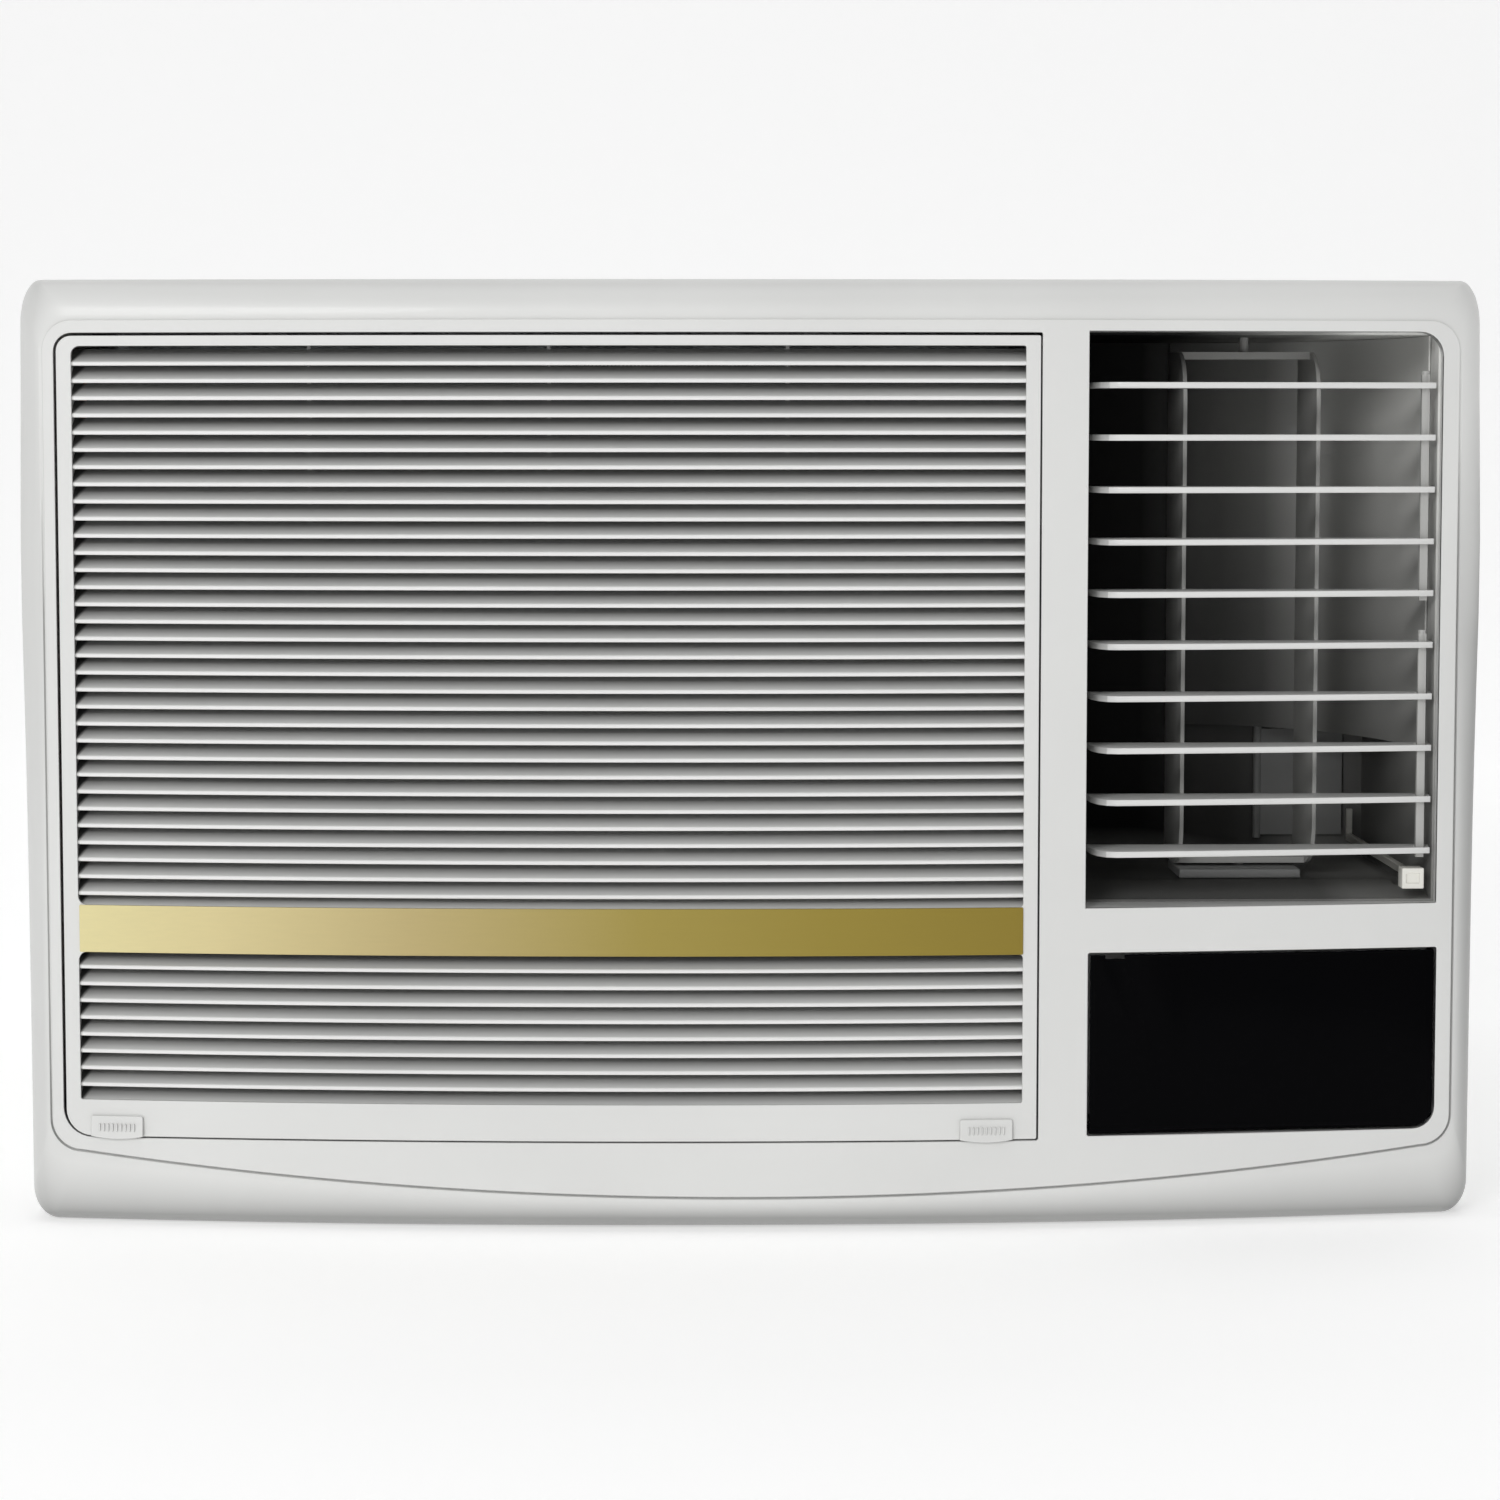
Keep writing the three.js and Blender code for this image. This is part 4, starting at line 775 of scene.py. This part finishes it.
for i in range(LOUVRES):
    softened(f"louvre_{i + 1:02d}", 0.0009)
softened("link_bar_upper", 0.0005, material=SHADED_WHITE)
softened("link_bar_lower", 0.0005, material=SHADED_WHITE)
softened("swing_vane", 0.0005, material=SHADED_WHITE)
softened("vent_knob", 0.0009)
softened("control_door", 0.0003, 2)
softened("control_fascia", 0.0004, 2)
for node in frame["nodes"]:
    if node.startswith("button_"):
        softened(node, 0.0009)
for node in ("runner_left", "runner_right", "cord_grommet", "swing_motor", "motor_bracket", "drain_plug"):
    softened(node, 0.0008)

# ---- Curved wall of the plenum -----------------------------------------------------------------


def build_duct_wall():
    """Right wall of the plenum above the vent, curving round into its back."""
    depth0, depth1, right, left = 0.048, 0.2105, OUTLET["x1"] - 0.0022, 0.212
    low, high = 0.2145, OUTLET["z1"] - 0.0012
    outer, inner = [], []
    steps = 28
    for i in range(steps + 1):
        a = i / steps * math.pi / 2
        x = left + (right - left) * math.cos(a)
        y = FACE + depth0 + (depth1 - depth0) * math.sin(a)
        outward = Vector((math.cos(a) / (right - left), math.sin(a) / (depth1 - depth0), 0)).normalized()
        inner.append((x, y))
        outer.append((x + outward.x * 0.0008, y + outward.y * 0.0008))
    section = inner + outer[::-1]
    bm = loft([[(x, y, z) for x, y in section] for z in (low, high)], True, True)
    # The curved wall takes the grey plastic with painted shade.
    finish_mesh(bm, "duct_curved_wall", DUCT_PAINTED_SHADE, "chassis")


build_duct_wall()

# ---- Condenser and evaporator: real fins -------------------------------------------------------


def add_box(bm, low, high):
    (x0, y0, z0), (x1, y1, z1) = low, high
    corners = [(x, y, z) for x in (x0, x1) for y in (y0, y1) for z in (z0, z1)]
    v = [bm.verts.new(c) for c in corners]
    for a, b, c, d in ((0, 1, 3, 2), (4, 6, 7, 5), (0, 4, 5, 1), (2, 3, 7, 6), (0, 2, 6, 4), (1, 5, 7, 3)):
        bm.faces.new((v[a], v[b], v[c], v[d]))


def build_coil(node, low, high, pitch, rows, half=0.00011):
    """Fins, each twice half thick, between end plates, with copper hairpins standing out at both ends."""
    (x0, y0, z0), (x1, y1, z1) = low, high
    bm = bmesh.new()
    count = int((x1 - x0) / pitch)
    for i in range(1, count):
        x = x0 + (x1 - x0) * i / count
        add_box(bm, (x - half, y0, z0), (x + half, y1, z1))
    finish_mesh(bm, node + "_fins", FIN, "chassis", [node], weighted=False)
    plates = bmesh.new()
    for x in (x0, x1):
        add_box(plates, (x - 0.0007, y0 - 0.0012, z0 - 0.001), (x + 0.0007, y1 + 0.0012, z1 + 0.001))
    finish_mesh(plates, node + "_end_plates", ZINC, "chassis", [node])
    curve = bpy.data.curves.new(node + "_tubes", "CURVE")
    curve.dimensions = "3D"
    curve.bevel_depth = 0.0035
    curve.bevel_resolution = 4
    tubes = 14
    step = (z1 - z0) / tubes
    for row in range(rows):
        y = y0 + (y1 - y0) * (row + 0.5) / rows
        for i in range(tubes - 1):
            side = 1 if i % 2 else -1
            x = x1 if side > 0 else x0
            low_z = z0 + step * (i + 0.5)
            points = [(x - side * 0.004, low_z)]
            points += [
                (x + side * (0.0035 + step * 0.22 * math.sin(a)), low_z + step * 0.5 * (1 - math.cos(a)))
                for a in (k / 8 * math.pi for k in range(9))
            ]
            points.append((x - side * 0.004, low_z + step))
            spline = curve.splines.new("POLY")
            spline.points.add(len(points) - 1)
            for point, (px, pz) in zip(spline.points, points):
                point.co = (px, y, pz, 1)
    holder = bpy.data.objects.new("tubes", curve)
    bpy.context.scene.collection.objects.link(holder)
    mesh = bpy.data.meshes.new_from_object(holder.evaluated_get(bpy.context.evaluated_depsgraph_get()))
    bpy.data.objects.remove(holder)
    hairpins = bmesh.new()
    hairpins.from_mesh(mesh)
    bpy.data.meshes.remove(mesh)
    finish_mesh(hairpins, node + "_hairpins", COPPER, "chassis", [node])


build_coil("evaporator_coil", *EVAPORATOR, 0.0018, 4)
build_coil("condenser_coil", *CONDENSER, 0.0030, 3, 0.0003)

# ---- Outer case: pressed louvre hoods and screws -----------------------------------------------


def add_hood(bm, centre, along, across, out, length, wide):
    """Half-round hood pressed out beside a slot: along and across lie in the sheet, out points away."""
    centre, along, across, out = Vector(centre), Vector(along), Vector(across), Vector(out)
    rings = []
    stations = 10
    for i in range(stations + 1):
        u = -1 + 2 * i / stations
        swell = max(0.0, 1 - abs(u) ** 6) ** 0.5
        ring = []
        for k in range(7):
            a = k / 6 * math.pi / 2
            lift = 0.0034 * swell * math.sin(a) + 0.00005
            aside = -wide / 2 + wide * (1 - math.cos(a)) * 0.75
            ring.append(bm.verts.new(centre + along * (u * length / 2) + across * aside + out * lift))
        rings.append(ring)
    for a, b in zip(rings, rings[1:]):
        for k in range(6):
            bm.faces.new((a[k], a[k + 1], b[k + 1], b[k]))


def add_screw(bm, at, out):
    """Washer-head hexagon screw with its axis along out."""
    place = Matrix.Translation(at) @ out.to_track_quat("Z", "Y").to_matrix().to_4x4()
    edge = 0.0003
    for radius, low, high, sides in ((0.0052, -0.0004, 0.0007, 24), (0.0034, 0.0006, 0.0034, 6)):
        angles = [math.tau * k / sides for k in range(sides)]
        loops = [
            [place @ Vector((r * math.cos(a), r * math.sin(a), h)) for a in angles]
            for r, h in ((radius, low), (radius, high - edge), (radius - edge, high))
        ]
        merge(bm, loft(loops, True, True))


def build_case():
    softened("outer_case", 0.0004, 2, angle=40, join=False)
    hoods = bmesh.new()
    tall, long, wide = CASE_SLOT["tall"], CASE_SLOT["long"], CASE_SLOT["wide"]
    for column in range(CASE_SLOT["count"]):
        y = CASE_SLOT["first"] + CASE_SLOT["pitch"] * column
        for z in (0.143, 0.293):
            for side in (-1, 1):
                centre = (side * case_high.x, y, z)
                add_hood(hoods, centre, (0, 0, 1), (0, -1, 0), (side, 0, 0), tall, wide)
        for x in (-0.110, 0.110):
            add_hood(hoods, (x, y, case_high.z), (1, 0, 0), (0, -1, 0), (0, 0, 1), long, wide)
    solidified = finish_mesh(hoods, "case_louvre_hoods", CASE_PAINT, "cabinet", weighted=False)
    thick = solidified.modifiers.new("sheet", "SOLIDIFY")
    thick.thickness = 0.0008
    thick.offset = 0.0

    screws = bmesh.new()
    for side in (-1, 1):
        for y, z in itertools.product((-0.272, 0.335), (0.395, 0.215, 0.035)):
            add_screw(screws, Vector((side * case_high.x, y, z)), Vector((side, 0, 0)))
    for x, z in itertools.product((-0.30, 0.0, 0.30), (0.411, 0.022)):
        add_screw(screws, Vector((x, case_high.y, z)), Vector((0, 1, 0)))
    finish_mesh(screws, "case_screws", STEEL, "cabinet")


build_case()

# ---- Carried-over CAD nodes get node materials -------------------------------------------------

for name, node in frame["nodes"].items():
    node.data.materials.clear()
    # The outlet duct takes the grey plastic with painted shade.
    chosen = DUCT_PAINTED_SHADE if name == "outlet_duct" else MATERIAL_OF[slot_of_node[name]]
    node.data.materials.append(chosen)

# ---- Floor, light and camera -------------------------------------------------------------------


def build_stage():
    """A pale floor that curves up into a backdrop."""
    radius, front, back, side = 1.2, -60.0, 3.2, 60.0
    profile = [(front, 0.0), (back - radius, 0.0)]
    profile += [
        (back - radius + radius * math.sin(a), radius - radius * math.cos(a))
        for a in (i / 16 * math.pi / 2 for i in range(1, 17))
    ]
    profile.append((back, 6.0))
    bm = bmesh.new()
    rows = [[bm.verts.new((x, y, z - 0.0004)) for y, z in profile] for x in (-side, side)]
    for a, b, c, d in zip(rows[0], rows[0][1:], rows[1][1:], rows[1]):
        bm.faces.new((a, d, c, b))
    for face in bm.faces:
        face.smooth = True
    mesh = bpy.data.meshes.new("backdrop")
    bm.to_mesh(mesh)
    bm.free()
    stage = bpy.data.objects.new("backdrop", mesh)
    bpy.context.scene.collection.objects.link(stage)
    material, tree, shader = new_material("backdrop_paper")
    tree.links.new(ramp(tree, axes(tree)[2], [(0.0, 0.86), (1.0, 0.70)]), shader.inputs["Base Color"])
    shader.inputs["Roughness"].default_value = 0.9
    shader.inputs["Specular IOR Level"].default_value = 0.1
    shader.inputs["Emission Color"].default_value = (1, 1, 1, 1)
    shader.inputs["Emission Strength"].default_value = 0.40
    mesh.materials.append(material)


def area_light(name, place, target, size, power):
    data = bpy.data.lights.new(name, "AREA")
    data.shape = "RECTANGLE"
    data.size, data.size_y = size
    data.energy = power
    light = bpy.data.objects.new(name, data)
    light.location = place
    light.rotation_euler = (Vector(target) - Vector(place)).to_track_quat("-Z", "Y").to_euler()
    bpy.context.scene.collection.objects.link(light)


def build_world():
    """Soft surroundings: brightest in front, brighter on the left of the object than on its right."""
    world = bpy.data.worlds.new("studio")
    bpy.context.scene.world = world
    world.use_nodes = True
    tree = world.node_tree
    x, y = axes(tree, "Generated")[:2]
    across, back = (maths(tree, "MULTIPLY_ADD", axis, 0.5, 0.5) for axis in (x, y))
    side = ramp(tree, across, [(0.0, 0.50), (0.5, 0.62), (0.8, 0.44), (1.0, 0.38)])
    front = ramp(tree, back, [(0.0, 1.0), (0.35, 0.85), (0.65, 0.42), (1.0, 0.34)])
    both = maths(tree, "MULTIPLY", side, front)
    tree.links.new(both, tree.nodes["Background"].inputs["Color"])
    tree.nodes["Background"].inputs["Strength"].default_value = 0.82


def build_camera():
    data = bpy.data.cameras.new("camera")
    data.sensor_width = 36.0
    data.lens = 93.9
    data.clip_end = 50.0
    camera = bpy.data.objects.new("camera", data)
    camera.location = (-0.0381, FACE - 1.7483, 0.3646)
    camera.rotation_euler = (math.radians(90 - 4.75), 0.0, math.radians(-1.18))
    bpy.context.scene.collection.objects.link(camera)
    bpy.context.scene.camera = camera


build_stage()
build_world()
area_light("key", (-1.7, -4.3, 1.9), (0, -0.3, 0.2), (1.5, 1.2), 58)
area_light("top", (0.1, -0.2, 3.0), (0, 0.1, 0.1), (2.4, 2.0), 16)
build_camera()
bpy.context.scene.view_settings.view_transform = "Standard"
